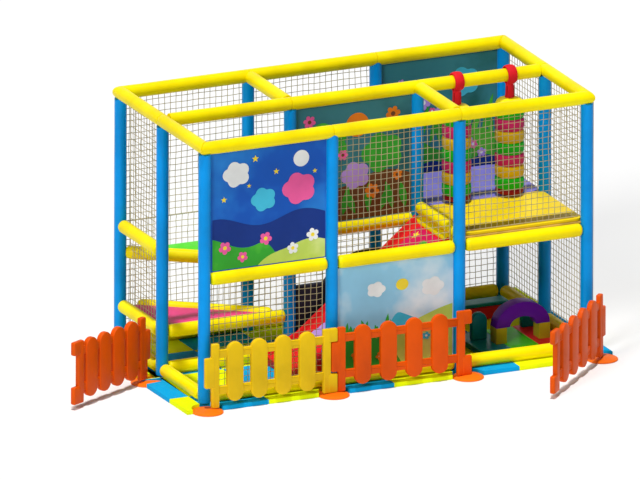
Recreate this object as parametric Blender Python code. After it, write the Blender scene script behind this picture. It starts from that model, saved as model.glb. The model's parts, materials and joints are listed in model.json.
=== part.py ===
"""Indoor playground: a two-storey frame of padded posts and rails, with nets, printed walls, a slide and a fence.

Metres, +Z up. The origin lies on the ground at the centre of the grid of posts, +X runs along the front
and +Y to the back. Posts are counted from the front left, as (column, row).
"""

import math

import bmesh
import bpy
from mathutils import Matrix, Vector

# Clearance between pieces that touch
GAP = 0.0003

# Grid of posts
BAY_X = 1.22
BAY_Y = 0.885
BAYS_X = 3
BAYS_Y = 2

# Heights of the rails' axes above the ground
LOW_RAIL_Z = 0.43
HIGH_RAIL_Z = 0.91
MID_RAIL_Z = 1.16
TOP_RAIL_Z = 2.36

# Foam pads of the posts and rails
POST_PAD_R = 0.055
RAIL_PAD_R = 0.058
PAD_SIDES = 12

# Floor tiles
TILE_SIZE = 0.6
TILE_T = 0.04
TILES_WEST = 0.233
TILES_EAST = 0.21
TILES_SOUTH = 0.16
TILES_NORTH = 0.18
TILE_SHIFT_X = 0.05
TILE_SHIFT_Y = 0.384
GROOVE_W = 0.008
GROOVE_DEPTH = 0.004

# Nets
NET_MESH = 0.2
NET_CORD_W = 0.01
NET_CORD_T = 0.006
NET_END_MARGIN = 0.075

# Printed wall panels
PRINT_T = 0.008

# Boards and pads of the floors
BOARD_T = 0.012
FLOOR_PAD_T = 0.032
FLOOR_PAD_INSET = 0.02
PRINT_SIDE_INSET = 0.006
PLATFORM_T = 0.048
PLATFORM_RISE = 0.03
BUMPER_R = 0.055

# Slide
SLIDE_HEAD_Z = 1.16
SLIDE_FOOT_Z = 0.11
SLIDE_FOOT_X = 0.27
SLIDE_LANDING = 0.04
SLIDE_KNEE_X = 0.03
SLIDE_KNEE_Z = 0.235
SLIDE_BED_T = 0.06
SLIDE_WALL_T = 0.035
SLIDE_WALL_H = 0.052
SLIDE_SIDE_GAP = 0.02

# Domed partition beside the slide, placed from the second post of the middle row
DOME_R = 0.5
DOME_TOP_Z = 0.94
DOME_SHOULDER_Z = 0.69
DOME_CENTRE_X = 0.755
DOME_T = 0.05
DOME_STEPS = 12

# Hanging bags, placed from the third post of the middle row
BAG_PLACES = {"bag_left": 0.375, "bag_right": 0.882}
BAG_R = 0.13
BAG_DISC_H = 0.106
BAG_DISCS = 7
BAG_CAP_H = 0.08
BAG_BASE_H = 0.05
BAG_FLOOR_GAP = 0.024
BAG_GROOVE = 0.006
BAG_SIDES = 16
STRAP_W = 0.09
STRAP_T = 0.028
STRAP_PLAY = 0.0004
STEM_W = 0.08

# Toddler corner, placed from the third front post
PLAY_BASE_LOW = (0.3, 0.18)
PLAY_BASE_HIGH = (1.12, 0.76)
PLAY_BASE_T = 0.06
ARCH_CENTRE = (0.76, 0.382)
ARCH_R = 0.256
ARCH_T = 0.13
ARCH_RISE = 0.214
ARCH_CROWN_T = 0.13
ARCH_DEPTH = 0.13
ARCH_STEPS = 12
LEG_W = 0.1
LEG_H = 0.143
LEG_SINK = 0.005
UPRIGHT_W = 0.145
UPRIGHT_H = 0.247
UPRIGHT_T = 0.06
UPRIGHT_LEFT = (0.425, 0.527)
UPRIGHT_RIGHT = (0.98, 0.70)
BLOCK_H = 0.05
BENCH_LOW = (0.42, 0.3)
BENCH_HIGH = (1.02, 0.46)
BENCH_H = 0.15

# Fence, placed from the first front post
FENCE_Y = -0.155
FENCE_X = -0.035
FENCE_PITCHES = (1.207, 1.285, 1.285)
FENCE_T = 0.05
LEFT_HINGE = (-0.17, 0.836)
LEFT_GATE_OPEN = math.radians(71.0)
RIGHT_GATE_OPEN = math.radians(45.0)
RIGHT_GATE_SHORT = 0.072
PANEL_TOP = 0.615
PANEL_BOTTOM = 0.0303
GATE_BOTTOM = 0.045
PICKETS = 4
PICKET_W = 0.155
PICKET_LOW = 0.075
PICKET_HIGH = 0.612
PICKET_STEPS = 6
END_POST_W = 0.072
END_POST_START = 0.034
LUG_R = 0.03
LUG_LOW = 0.216
LUG_HIGH = 0.49
LUG_CLEAR = 0.012
PANEL_RAIL_LOW = (0.149, 0.225)
PANEL_RAIL_HIGH = (0.479, 0.555)
PIN_R = 0.009
PIN_PLAY = 0.0008
PIN_SIDES = 10
FOOT_R = 0.14
FOOT_H = 0.03
FOOT_EDGE_H = 0.01
FOOT_CROWN_R = 0.1
FOOT_SIDES = 16

UP = Vector((0.0, 0.0, 1.0))
FLOOR_RAIL_Z = TILE_T + GAP + RAIL_PAD_R
NET_REACH = RAIL_PAD_R + 2 * GAP + NET_CORD_T
# Turns an outline in X and Y into one in X and Z, with its thickness along Y
STAND_X = Matrix(((1, 0, 0, 0), (0, 0, 1, 0), (0, 1, 0, 0), (0, 0, 0, 1)))
# Turns an outline in X and Y into one in Y and Z, with its thickness along X
STAND_Y = Matrix(((0, 0, 1, 0), (1, 0, 0, 0), (0, 1, 0, 0), (0, 0, 0, 1)))

BLUE = (0.012, 0.31, 0.80)
YELLOW = (0.95, 0.78, 0.01)
CREAM = (0.80, 0.76, 0.60)
PLYWOOD = (0.55, 0.40, 0.22)
FENCE_YELLOW = (0.72, 0.48, 0.005)
FENCE_ORANGE = (0.62, 0.08, 0.003)
FOOT_ORANGE = (0.95, 0.13, 0.003)

# Straight runs of rail, each from one post to another, by height and by which cut the others
RUNS = {
    "floor": {
        "outer": [((0, 0), (3, 0)), ((0, 2), (3, 2)), ((0, 0), (0, 2)), ((3, 0), (3, 2)), ((0, 1), (1, 1))],
    },
    "low": {"outer": [((0, 1), (1, 1)), ((0, 1), (0, 2))]},
    "high": {"outer": [((1, 1), (1, 2))]},
    "mid": {
        "outer": [((0, 0), (3, 0)), ((1, 2), (3, 2)), ((3, 0), (3, 2))],
        "inner": [((1, 1), (3, 1)), ((1, 1), (1, 2)), ((2, 0), (2, 1))],
        "left": [((0, 1), (0, 2))],
    },
    "top": {
        "outer": [((0, 0), (3, 0)), ((0, 2), (3, 2)), ((0, 0), (0, 2)), ((3, 0), (3, 2))],
        "inner": [((0, 1), (3, 1)), ((1, 1), (1, 2)), ((2, 0), (2, 1))],
    },
}
RUN_HEIGHTS = {
    "floor": FLOOR_RAIL_Z,
    "low": LOW_RAIL_Z,
    "high": HIGH_RAIL_Z,
    "mid": MID_RAIL_Z,
    "top": TOP_RAIL_Z,
}
DIAGONAL = ((0, 2), (1, 1))
DIAGONAL_LEVELS = ("low", "high")


def grid_x(i):
    return (i - BAYS_X / 2) * BAY_X


def grid_y(j):
    return (j - BAYS_Y / 2) * BAY_Y


def post_point(post, z=0.0):
    return Vector((grid_x(post[0]), grid_y(post[1]), z))


# Materials, objects and modifiers


def make_material(name, colour, roughness=0.5, metallic=0.0):
    material = bpy.data.materials.new(name)
    material.use_nodes = True
    shader = material.node_tree.nodes["Principled BSDF"]
    shader.inputs["Base Color"].default_value = (*colour, 1.0)
    shader.inputs["Roughness"].default_value = roughness
    shader.inputs["Metallic"].default_value = metallic
    return material


def mesh_object(name, bm):
    bmesh.ops.recalc_face_normals(bm, faces=bm.faces)
    mesh = bpy.data.meshes.new(name)
    bm.to_mesh(mesh)
    bm.free()
    return bpy.data.objects.new(name, mesh)


def add_object(name, bm, colour, roughness=0.5, metallic=0.0, smooth=False):
    obj = mesh_object(name, bm)
    if smooth:
        obj.data.shade_smooth()
        obj.data.set_sharp_from_angle(angle=math.radians(40))
    obj.data.materials.append(make_material(name, colour, roughness, metallic))
    bpy.context.scene.collection.objects.link(obj)
    return obj


def add_helper(name, bm, collection=None):
    """A hidden solid for Booleans."""
    obj = mesh_object(name, bm)
    obj.hide_render = True
    obj.display_type = "WIRE"
    (collection or bpy.context.scene.collection).objects.link(obj)
    return obj


def add_helper_collection(name):
    collection = bpy.data.collections.new(name)
    bpy.context.scene.collection.children.link(collection)
    return collection


def add_boolean(obj, name, operation, other):
    modifier = obj.modifiers.new(name, "BOOLEAN")
    modifier.operation = operation
    modifier.solver = "EXACT"
    if isinstance(other, bpy.types.Collection):
        modifier.operand_type = "COLLECTION"
        modifier.collection = other
    else:
        modifier.object = other


# Basic solids


def join_rings(bm, rings):
    for lower, upper in zip(rings, rings[1:]):
        count = len(lower)
        for k in range(count):
            after = (k + 1) % count
            bm.faces.new((lower[k], lower[after], upper[after], upper[k]))


def add_prism(bm, rings):
    """A solid through rings of points, closed at both ends."""
    made = [[bm.verts.new(point) for point in ring] for ring in rings]
    join_rings(bm, made)
    bm.faces.new(made[0][::-1])
    bm.faces.new(made[-1])


def add_bar(bm, start, end, radius, sides):
    """A round bar. Its sides are turned a little by its direction, so that no edges of crossing bars line up."""
    along = (end - start).normalized()
    upright = abs(along.z) > 0.5
    across = Vector((1.0, 0.0, 0.0)) if upright else UP.cross(along)
    rise = along.cross(across)
    turn = math.radians(2.0 + 3.0 * abs(along.y) + 1.5 * abs(along.z))
    angles = [turn + 2 * math.pi * k / sides for k in range(sides)]
    rings = []
    for centre in (start, end):
        rings.append([centre + radius * (math.cos(a) * across + math.sin(a) * rise) for a in angles])
    add_prism(bm, rings)


def add_box(bm, low, high):
    corners = [(low[0], low[1]), (high[0], low[1]), (high[0], high[1]), (low[0], high[1])]
    add_prism(bm, [[(x, y, z) for x, y in corners] for z in (low[2], high[2])])


def add_turned(bm, profile, sides, centre=(0.0, 0.0)):
    """A solid turned about an upright axis from a profile of (radius, height)."""
    rings = []
    x, y = centre
    for radius, height in profile:
        angles = [2 * math.pi * k / sides for k in range(sides)]
        rings.append([(x + radius * math.cos(a), y + radius * math.sin(a), height) for a in angles])
    add_prism(bm, rings)


def add_plate(bm, loops, low, high, matrix):
    """A flat plate from closed outlines: the first is the rim, the others are holes."""
    flat = bmesh.new()
    edges = []
    for loop in loops:
        points = [flat.verts.new((x, y, low)) for x, y in loop]
        for k, point in enumerate(points):
            edges.append(flat.edges.new((point, points[(k + 1) % len(points)])))
    bmesh.ops.triangle_fill(flat, use_beauty=True, use_dissolve=False, edges=edges, normal=UP)
    grown = bmesh.ops.extrude_face_region(flat, geom=flat.faces[:])
    lifted = [item for item in grown["geom"] if isinstance(item, bmesh.types.BMVert)]
    bmesh.ops.translate(flat, verts=lifted, vec=UP * (high - low))
    bmesh.ops.transform(flat, matrix=matrix, verts=flat.verts)
    mesh = bpy.data.meshes.new("plate")
    flat.to_mesh(mesh)
    flat.free()
    bm.from_mesh(mesh)
    bpy.data.meshes.remove(mesh)


# Frame


def is_along_x(run):
    return run[0][1] == run[1][1]


def runs_of(level, groups, along_x):
    return [run for group in groups for run in RUNS[level].get(group, []) if is_along_x(run) == along_x]


def add_runs(bm, level, runs, radius, sides, longer=0.0):
    for start, end in runs:
        a, b = post_point(start, RUN_HEIGHTS[level]), post_point(end, RUN_HEIGHTS[level])
        along = (b - a).normalized()
        add_bar(bm, a - along * longer, b + along * longer, radius, sides)


def diagonal_axis():
    """The start, end and direction of the platforms' sloping edge in plan."""
    start, end = post_point(DIAGONAL[0]), post_point(DIAGONAL[1])
    return start, end, (end - start).normalized()


def diagonal_setback():
    """How far from the corner post the sloping edge's pad stops, to leave room for the side net."""
    _, _, along = diagonal_axis()
    return (NET_REACH + 2 * GAP + RAIL_PAD_R * abs(along.y)) / abs(along.x)


def add_diagonal(bm, level, radius, sides, setback):
    start, end, along = diagonal_axis()
    height = UP * RUN_HEIGHTS[level]
    add_bar(bm, start + along * setback + height, end + height, radius, sides)


def build_post_clearance():
    bm = bmesh.new()
    for i in range(BAYS_X + 1):
        for j in range(BAYS_Y + 1):
            start, end = post_point((i, j), -GAP), post_point((i, j), TOP_RAIL_Z - RAIL_PAD_R - POST_PAD_R)
            add_bar(bm, start, end, POST_PAD_R + GAP, PAD_SIDES)
    return add_helper("post_clearance", bm)


def build_post_pads():
    above = add_helper_collection("Top rail clearances")
    for label, along_x in (("across", True), ("deep", False)):
        bm = bmesh.new()
        radius = RAIL_PAD_R + GAP
        add_runs(bm, "top", runs_of("top", RUNS["top"], along_x), radius, PAD_SIDES, radius)
        add_helper(f"top_rail_clearance_{label}", bm, above)
    for j, row in enumerate(("front", "middle", "back")):
        for i in range(BAYS_X + 1):
            bm = bmesh.new()
            add_bar(bm, Vector((0.0, 0.0, TILE_T + GAP)), UP * TOP_RAIL_Z, POST_PAD_R, PAD_SIDES)
            pad = add_object(f"post_pad_{row}_{i + 1}", bm, BLUE, 0.45, smooth=True)
            pad.location = post_point((i, j))
            add_boolean(pad, "Room for the top rails", "DIFFERENCE", above)


def build_rail_pads(name, level, group, post_clearance, sloping=False):
    """One level's rail pads, joined where they meet and where their covers pass on round the posts."""
    # The top rails fill the frame's corners, and the inner rails end where they meet the outer ones
    longer = -RAIL_PAD_R / 2 if group == "inner" else RAIL_PAD_R if level == "top" else 0.0
    x_runs, y_runs = bmesh.new(), bmesh.new()
    add_runs(x_runs, level, runs_of(level, [group], True), RAIL_PAD_R, PAD_SIDES, longer)
    add_runs(y_runs, level, runs_of(level, [group], False), RAIL_PAD_R, PAD_SIDES, longer)
    pads = add_object(name, x_runs, YELLOW, 0.45, smooth=True)
    add_boolean(pads, "Rails from front to back", "UNION", add_helper(f"{name}_deep", y_runs))
    if sloping:
        slope = bmesh.new()
        add_diagonal(slope, level, RAIL_PAD_R, PAD_SIDES, diagonal_setback())
        add_boolean(pads, "Sloping rail", "UNION", add_helper(f"{name}_sloping", slope))
    if level != "top":
        add_boolean(pads, "Room for the posts", "DIFFERENCE", post_clearance)
    if group == "inner":
        for label, along_x in (("across", True), ("deep", False)):
            bm = bmesh.new()
            add_runs(bm, level, runs_of(level, ["outer"], along_x), RAIL_PAD_R + GAP, PAD_SIDES, GAP)
            clearance = add_helper(f"{name}_clearance_{label}", bm)
            add_boolean(pads, f"Room for the outer rails {label}", "DIFFERENCE", clearance)


# Nets and printed panels


def add_net(name, origin, across, width, low, high, outward):
    """A knotted net in one piece: flat at the back, each cord with a ridge in front, in equal meshes.

    Its back starts at origin, runs along across for its width and faces away from outward.
    """
    columns = max(1, round(width / NET_MESH))
    rows = max(1, round((high - low) / NET_MESH))
    half = NET_CORD_W / 2
    bm = bmesh.new()
    step_u = (width - 2 * half) / columns
    step_v = (high - low - 2 * half) / rows

    def point(k, m, side_u, side_v):
        u = half + k * step_u + side_u * half
        v = low + half + m * step_v + side_v * half
        depth = NET_CORD_T if side_u == 0 else 0.0
        return bm.verts.new(origin + across * u + UP * v + outward * depth)

    knots = {}
    for k in range(columns + 1):
        for m in range(rows + 1):
            knots[k, m] = {side: point(k, m, *side) for side in ((0, 0), (1, 1), (-1, 1), (-1, -1), (1, -1))}
    for (k, m), knot in knots.items():
        bm.faces.new((knot[1, 1], knot[-1, 1], knot[-1, -1], knot[1, -1]))
        for du, dv in ((1, 0), (0, 1), (-1, 0), (0, -1)):
            sides = [(du or s, dv or s) for s in (-1, 1)]
            other = knots.get((k + du, m + dv))
            if other is None:
                bm.faces.new((knot[0, 0], knot[sides[0]], knot[sides[1]]))
            elif du + dv > 0:
                ends = [(-du or s, -dv or s) for s in (-1, 1)]
                bm.faces.new((knot[sides[0]], knot[sides[1]], other[ends[1]], other[ends[0]]))
                for side, end in zip(sides, ends):
                    bm.faces.new((knot[0, 0], knot[side], other[end], other[0, 0]))
    add_object(name, bm, CREAM, 0.8)


def build_nets(floor_top):
    x, y = Vector((1.0, 0.0, 0.0)), Vector((0.0, 1.0, 0.0))
    reach = RAIL_PAD_R + GAP
    inner = reach + GAP
    right, back = grid_x(BAYS_X) + reach, grid_y(BAYS_Y) + reach
    depth = grid_y(BAYS_Y) - grid_y(0)
    add_net("net_right", Vector((right, grid_y(0), 0)), y, depth, FLOOR_RAIL_Z, TOP_RAIL_Z, x)
    width = grid_x(BAYS_X) - grid_x(0)
    add_net("net_back_lower", Vector((grid_x(0), back, 0)), x, width, FLOOR_RAIL_Z, MID_RAIL_Z - GAP, y)
    width = grid_x(2) - grid_x(0)
    add_net("net_back_upper", Vector((grid_x(0), back, 0)), x, width, MID_RAIL_Z + GAP, TOP_RAIL_Z, y)
    left, start = grid_x(0) + reach, grid_y(1) + NET_END_MARGIN
    width = grid_y(2) - NET_END_MARGIN - start
    add_net("net_left", Vector((left, start, 0)), y, width, FLOOR_RAIL_Z, TOP_RAIL_Z, x)
    front = grid_y(0) + reach
    width = grid_x(1) - grid_x(0) - 2 * inner
    start = Vector((grid_x(0) + inner, front, 0))
    add_net("net_front_lower", start, x, width, FLOOR_RAIL_Z, MID_RAIL_Z, y)
    start = Vector((grid_x(1) + inner, front, 0))
    add_net("net_front_upper_middle", start, x, width, MID_RAIL_Z, TOP_RAIL_Z, y)
    start = Vector((grid_x(2) + inner, front, 0))
    add_net("net_front_upper_right", start, x, width, floor_top + GAP, TOP_RAIL_Z, y)


def build_prints():
    """Flat printed sheets between the rails and posts round them."""
    lower = (FLOOR_RAIL_Z, MID_RAIL_Z)
    upper = (MID_RAIL_Z, TOP_RAIL_Z)
    for name, post, (below, above), colour in (
        ("print_front_upper", (0, 0), upper, (0.10, 0.30, 0.62)),
        ("print_front_lower", (1, 0), lower, (0.35, 0.60, 0.30)),
        ("print_middle_upper", (1, 1), upper, (0.45, 0.28, 0.30)),
        ("print_back_upper", (2, 2), upper, (0.10, 0.42, 0.35)),
    ):
        start, end = post_point(post), post_point((post[0] + 1, post[1]))
        side, edge = POST_PAD_R + GAP, RAIL_PAD_R + GAP
        bm = bmesh.new()
        low = (start.x + side, start.y - PRINT_T / 2, below + edge)
        high = (end.x - side, start.y + PRINT_T / 2, above - edge)
        add_box(bm, low, high)
        add_object(name, bm, colour, 0.6)


# Floors and platforms


def build_upper_floor(post_clearance):
    """Plywood on the rails of three bays, with a pad on each bay; the slide's bay stays open."""
    board_low = MID_RAIL_Z + RAIL_PAD_R + GAP
    pad_low = board_low + BOARD_T + GAP
    pad_high = pad_low + FLOOR_PAD_T
    west = grid_x(2) + BUMPER_R + 2 * GAP
    middle_y = grid_y(1)
    print_edge = PRINT_T / 2 + PRINT_SIDE_INSET
    floors = {
        "yellow_floor_pad": (
            (west, grid_x(3) - FLOOR_PAD_INSET, grid_y(0) + FLOOR_PAD_INSET, middle_y - GAP / 2),
            (0.90, 0.70, 0.02),
        ),
        "lavender_floor_pad": (
            (grid_x(2) + GAP / 2, grid_x(3) - FLOOR_PAD_INSET, middle_y + GAP / 2, grid_y(2) - print_edge),
            (0.22, 0.19, 0.58),
        ),
        "rear_floor_pad": (
            (grid_x(1), grid_x(2) - GAP / 2, middle_y + print_edge, grid_y(2) - print_edge),
            (0.02, 0.30, 0.62),
        ),
    }
    for name, ((x0, x1, y0, y1), colour) in floors.items():
        bm = bmesh.new()
        add_box(bm, (x0, y0, pad_low), (x1, y1, pad_high))
        pad = add_object(name, bm, colour, 0.5)
        add_boolean(pad, "Room for the posts", "DIFFERENCE", post_clearance)
    bm = bmesh.new()
    outline = [
        (west, grid_y(0)),
        (grid_x(3), grid_y(0)),
        (grid_x(3), grid_y(2) - print_edge),
        (grid_x(1), grid_y(2) - print_edge),
        (grid_x(1), middle_y + print_edge),
        (west, middle_y + print_edge),
    ]
    add_plate(bm, [outline], board_low, board_low + BOARD_T, Matrix.Identity(4))
    board = add_object("floor_board", bm, PLYWOOD, 0.7)
    add_boolean(board, "Room for the posts", "DIFFERENCE", post_clearance)
    return pad_high


def build_bumper():
    """A foam roll that lies on the cross rail, between the upper floor and the head of the slide."""
    height = UP * (MID_RAIL_Z + RAIL_PAD_R + GAP + BUMPER_R)
    start = post_point((2, 0)) + Vector((0.0, POST_PAD_R + GAP, 0.0)) + height
    end = post_point((2, 1)) - Vector((0.0, POST_PAD_R + GAP, 0.0)) + height
    bm = bmesh.new()
    add_bar(bm, start, end, BUMPER_R, PAD_SIDES)
    add_object("slide_bumper_roll", bm, YELLOW, 0.45, smooth=True)


def drawn_in(corners, insets):
    """The corner points of a plan shape whose edges are moved inwards, each by its own inset."""
    lines = []
    count = len(corners)
    for k in range(count):
        along = (corners[(k + 1) % count] - corners[k]).normalized()
        inward = Vector((-along.y, along.x))
        lines.append((corners[k] + inward * insets[k], along))
    points = []
    for k in range(count):
        (p, d), (q, e) = lines[k - 1], lines[k]
        travel = ((q - p).x * e.y - (q - p).y * e.x) / (d.x * e.y - d.y * e.x)
        points.append(p + d * travel)
    return points


def build_platforms():
    """Two triangular padded steps inside the rails of the rear left bay."""
    rail = RAIL_PAD_R + GAP
    for name, posts, insets, height, colour in (
        ("low_platform", ((0, 1), (1, 1), (0, 2)), (rail, rail, NET_REACH + GAP), LOW_RAIL_Z, (0.78, 0.03, 0.25)),
        ("high_platform", ((1, 1), (1, 2), (0, 2)), (rail, rail, rail), HIGH_RAIL_Z, (0.12, 0.85, 0.01)),
    ):
        outline = drawn_in([post_point(post).xy for post in posts], insets)
        top = height + PLATFORM_RISE
        bm = bmesh.new()
        add_prism(bm, [[(x, y, z) for x, y in outline] for z in (top - PLATFORM_T, top)])
        add_object(name, bm, colour, 0.5)


# Floor tiles


def foot_centres():
    """The fence's feet: the left gate's hinge, then along the front to the right gate's hinge."""
    x, y = grid_x(0) + FENCE_X, grid_y(0) + FENCE_Y
    centres = [(grid_x(0) + LEFT_HINGE[0], grid_y(0) + LEFT_HINGE[1]), (x, y)]
    for pitch in FENCE_PITCHES:
        x += pitch
        centres.append((x, y))
    return centres


def build_tiles():
    west, east = grid_x(0) - TILES_WEST, grid_x(BAYS_X) + TILES_EAST
    south, north = grid_y(0) - TILES_SOUTH, grid_y(BAYS_Y) + TILES_NORTH
    bm = bmesh.new()
    add_box(bm, (west, south, 0.0), (east, north, TILE_T))
    tiles = add_object("floor_tiles", bm, (0.0, 0.36, 0.70), 0.75)
    grooves = add_helper_collection("Tile grooves")
    for label, first, low, high, side in (
        ("deep", grid_x(0) - TILE_SHIFT_X, west, east, (south, north)),
        ("across", grid_y(0) - TILE_SHIFT_Y, south, north, (west, east)),
    ):
        bm = bmesh.new()
        for k in range(-1, math.ceil((high - first) / TILE_SIZE)):
            line = first + k * TILE_SIZE
            if line - low < GROOVE_W or high - line < GROOVE_W:
                continue
            shape = [(-GROOVE_W, GROOVE_DEPTH), (0.0, -GROOVE_DEPTH), (GROOVE_W, GROOVE_DEPTH)]
            ends = (side[0] - GROOVE_W, side[1] + GROOVE_W)
            if label == "deep":
                rings = [[(line + d, end, TILE_T + z) for d, z in shape] for end in ends]
            else:
                rings = [[(end, line + d, TILE_T + z) for d, z in shape] for end in ends]
            add_prism(bm, rings)
        add_helper(f"tile_grooves_{label}", bm, grooves)
    add_boolean(tiles, "Seams between tiles", "DIFFERENCE", grooves)
    bm = bmesh.new()
    for centre in foot_centres():
        radius = FOOT_R + GAP
        add_turned(bm, [(radius, -TILE_T), (radius, 2 * TILE_T)], FOOT_SIDES, centre)
    add_boolean(tiles, "Room for the fence's feet", "DIFFERENCE", add_helper("foot_clearance", bm))


# Slide and partition


def build_slide():
    """A slide with low side walls in the front half of the middle bay, with a gentler run-out at its foot."""
    head_x = grid_x(2) - RAIL_PAD_R - GAP
    foot_x = grid_x(1) - SLIDE_FOOT_X
    knee_x = grid_x(1) + SLIDE_KNEE_X
    slope = (SLIDE_HEAD_Z - SLIDE_KNEE_Z) / (head_x - knee_x)
    steep = math.hypot(1.0, slope)
    floor = TILE_T + GAP
    y0, y1 = grid_y(0) + POST_PAD_R + SLIDE_SIDE_GAP, grid_y(1) - POST_PAD_R - SLIDE_SIDE_GAP
    beds = ((foot_x, SLIDE_FOOT_Z), (foot_x + SLIDE_LANDING, SLIDE_FOOT_Z), (knee_x, SLIDE_KNEE_Z), (head_x, SLIDE_HEAD_Z))
    rings = []
    for x, bed in beds:
        under = floor if bed == SLIDE_FOOT_Z else bed - SLIDE_BED_T * steep
        wall = bed + SLIDE_WALL_H * steep
        inner0, inner1 = y0 + SLIDE_WALL_T, y1 - SLIDE_WALL_T
        rings.append(
            [
                (x, y0, under),
                (x, y1, under),
                (x, y1, wall),
                (x, inner1, wall),
                (x, inner1, bed),
                (x, inner0, bed),
                (x, inner0, wall),
                (x, y0, wall),
            ]
        )
    bm = bmesh.new()
    add_prism(bm, rings)
    add_object("slide", bm, (0.85, 0.03, 0.03), 0.35)


def build_partition():
    """A standing padded board in the middle row, with a domed top and one square shoulder."""
    reach = POST_PAD_R + GAP
    x0, x1 = grid_x(1) + reach, grid_x(2) - reach
    centre_x, centre_z = grid_x(1) + DOME_CENTRE_X, DOME_TOP_Z - DOME_R
    first = math.pi - math.asin((DOME_SHOULDER_Z - centre_z) / DOME_R)
    last = math.acos(min(1.0, (x1 - centre_x) / DOME_R))
    loop = [(x0, TILE_T + GAP), (x0, DOME_SHOULDER_Z)]
    for k in range(DOME_STEPS + 1):
        angle = first + (last - first) * k / DOME_STEPS
        loop.append((centre_x + DOME_R * math.cos(angle), centre_z + DOME_R * math.sin(angle)))
    loop.append((x1, TILE_T + GAP))
    bm = bmesh.new()
    add_plate(bm, [loop], grid_y(1) - DOME_T / 2, grid_y(1) + DOME_T / 2, STAND_X)
    add_object("domed_partition", bm, (0.01, 0.012, 0.02), 0.6)


# Hanging bags


def build_bag(label, offset, floor_top):
    """A bag of stacked discs on the middle row's top rail. Its origin lies on the rail's axis, where it swings."""
    pivot = post_point((2, 1), TOP_RAIL_Z) + Vector((offset, 0.0, 0.0))
    height = floor_top + BAG_FLOOR_GAP - pivot.z
    profile = [(BAG_R - BAG_GROOVE, height), (BAG_R, height + BAG_GROOVE)]
    height += BAG_BASE_H
    for _ in range(BAG_DISCS + 1):
        profile += [(BAG_R, height - BAG_GROOVE), (BAG_R - BAG_GROOVE, height), (BAG_R, height + BAG_GROOVE)]
        height += BAG_DISC_H
    height -= BAG_DISC_H
    for degrees in (30, 50, 70):
        angle = math.radians(degrees)
        profile.append((BAG_R * math.cos(angle), height + BAG_CAP_H * math.sin(angle)))
    cap_top = profile[-1][1]
    bm = bmesh.new()
    add_turned(bm, profile, BAG_SIDES)
    rolls = add_object(f"{label}_rolls", bm, (0.03, 0.45, 0.02), 0.45, smooth=True)
    rolls.location = pivot
    sides = BAG_SIDES
    inner_r = (RAIL_PAD_R + STRAP_PLAY) / math.cos(math.pi / sides)
    outer_r = inner_r + STRAP_T
    half = STEM_W / 2
    meet = math.asin(half / outer_r)
    outline = []
    for k in range(sides + 1):
        angle = -math.pi / 2 + meet + (2 * math.pi - 2 * meet) * k / sides
        outline.append((outer_r * math.cos(angle), outer_r * math.sin(angle)))
    outline += [(-half, cap_top + GAP), (half, cap_top + GAP)]
    turns = [2 * math.pi * k / sides for k in range(sides)]
    hole = [(inner_r * math.cos(turn), inner_r * math.sin(turn)) for turn in turns]
    bm = bmesh.new()
    add_plate(bm, [outline, hole], -STRAP_W / 2, STRAP_W / 2, STAND_Y)
    strap = add_object(f"{label}_strap", bm, (0.72, 0.02, 0.03), 0.45, smooth=True)
    strap.location = pivot


# Toddler corner


def add_upright(name, centre, low):
    """A small board with a round top."""
    half = UPRIGHT_W / 2
    shoulder = low + UPRIGHT_H - half
    loop = [(centre[0] - half, low), (centre[0] + half, low)]
    for k in range(9):
        angle = math.pi * k / 8
        loop.append((centre[0] + half * math.cos(angle), shoulder + half * math.sin(angle)))
    bm = bmesh.new()
    add_plate(bm, [loop], centre[1] - UPRIGHT_T / 2, centre[1] + UPRIGHT_T / 2, STAND_X)
    add_object(name, bm, (0.01, 0.25, 0.30), 0.6)


def build_toddler_corner():
    corner = post_point((2, 0)).xy
    base_low = TILE_T + GAP
    base_top = base_low + PLAY_BASE_T
    low, high = corner + Vector(PLAY_BASE_LOW), corner + Vector(PLAY_BASE_HIGH)
    bm = bmesh.new()
    add_box(bm, (*low, base_low), (*high, base_top))
    base = add_object("play_base", bm, (0.01, 0.28, 0.36), 0.6)
    bm = bmesh.new()
    block_low = (high.x - LEG_W, low.y + GAP, base_top - BLOCK_H / 2)
    add_box(bm, block_low, (high.x - GAP, low.y + LEG_W, base_top + BLOCK_H))
    add_boolean(base, "Corner block", "UNION", add_helper("play_base_block", bm))

    stands = base_top + GAP
    centre = corner + Vector(ARCH_CENTRE)
    spring = stands + LEG_H
    turns = [math.pi * k / ARCH_STEPS for k in range(ARCH_STEPS + 1)]
    loop = [(centre.x + ARCH_R * math.cos(a), spring + ARCH_RISE * math.sin(a)) for a in turns]
    inner_r, inner_rise = ARCH_R - ARCH_T, ARCH_RISE - ARCH_CROWN_T
    loop += [(centre.x + inner_r * math.cos(a), spring + inner_rise * math.sin(a)) for a in reversed(turns)]
    bm = bmesh.new()
    add_plate(bm, [loop], centre.y - ARCH_DEPTH / 2, centre.y + ARCH_DEPTH / 2, STAND_X)
    arch = add_object("play_arch", bm, (0.10, 0.0, 0.28), 0.6)
    legs = bmesh.new()
    half = LEG_W / 2
    for side in (-1, 1):
        x, y, deep = centre.x + side * (ARCH_R - half - GAP), centre.y, ARCH_DEPTH / 2 - GAP
        add_box(legs, (x - half, y - deep, stands), (x + half, y + deep, spring + LEG_SINK))
    add_boolean(arch, "Legs", "UNION", add_helper("play_arch_legs", legs))
    add_upright("play_upright_left", corner + Vector(UPRIGHT_LEFT), stands)
    add_upright("play_upright_right", corner + Vector(UPRIGHT_RIGHT), stands)

    rear = post_point((2, 1)).xy
    low, high = rear + Vector(BENCH_LOW), rear + Vector(BENCH_HIGH)
    bm = bmesh.new()
    add_box(bm, (*low, base_low), (*high, base_low + BENCH_H))
    add_object("play_bench", bm, (0.35, 0.02, 0.04), 0.6)


# Fence


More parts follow.
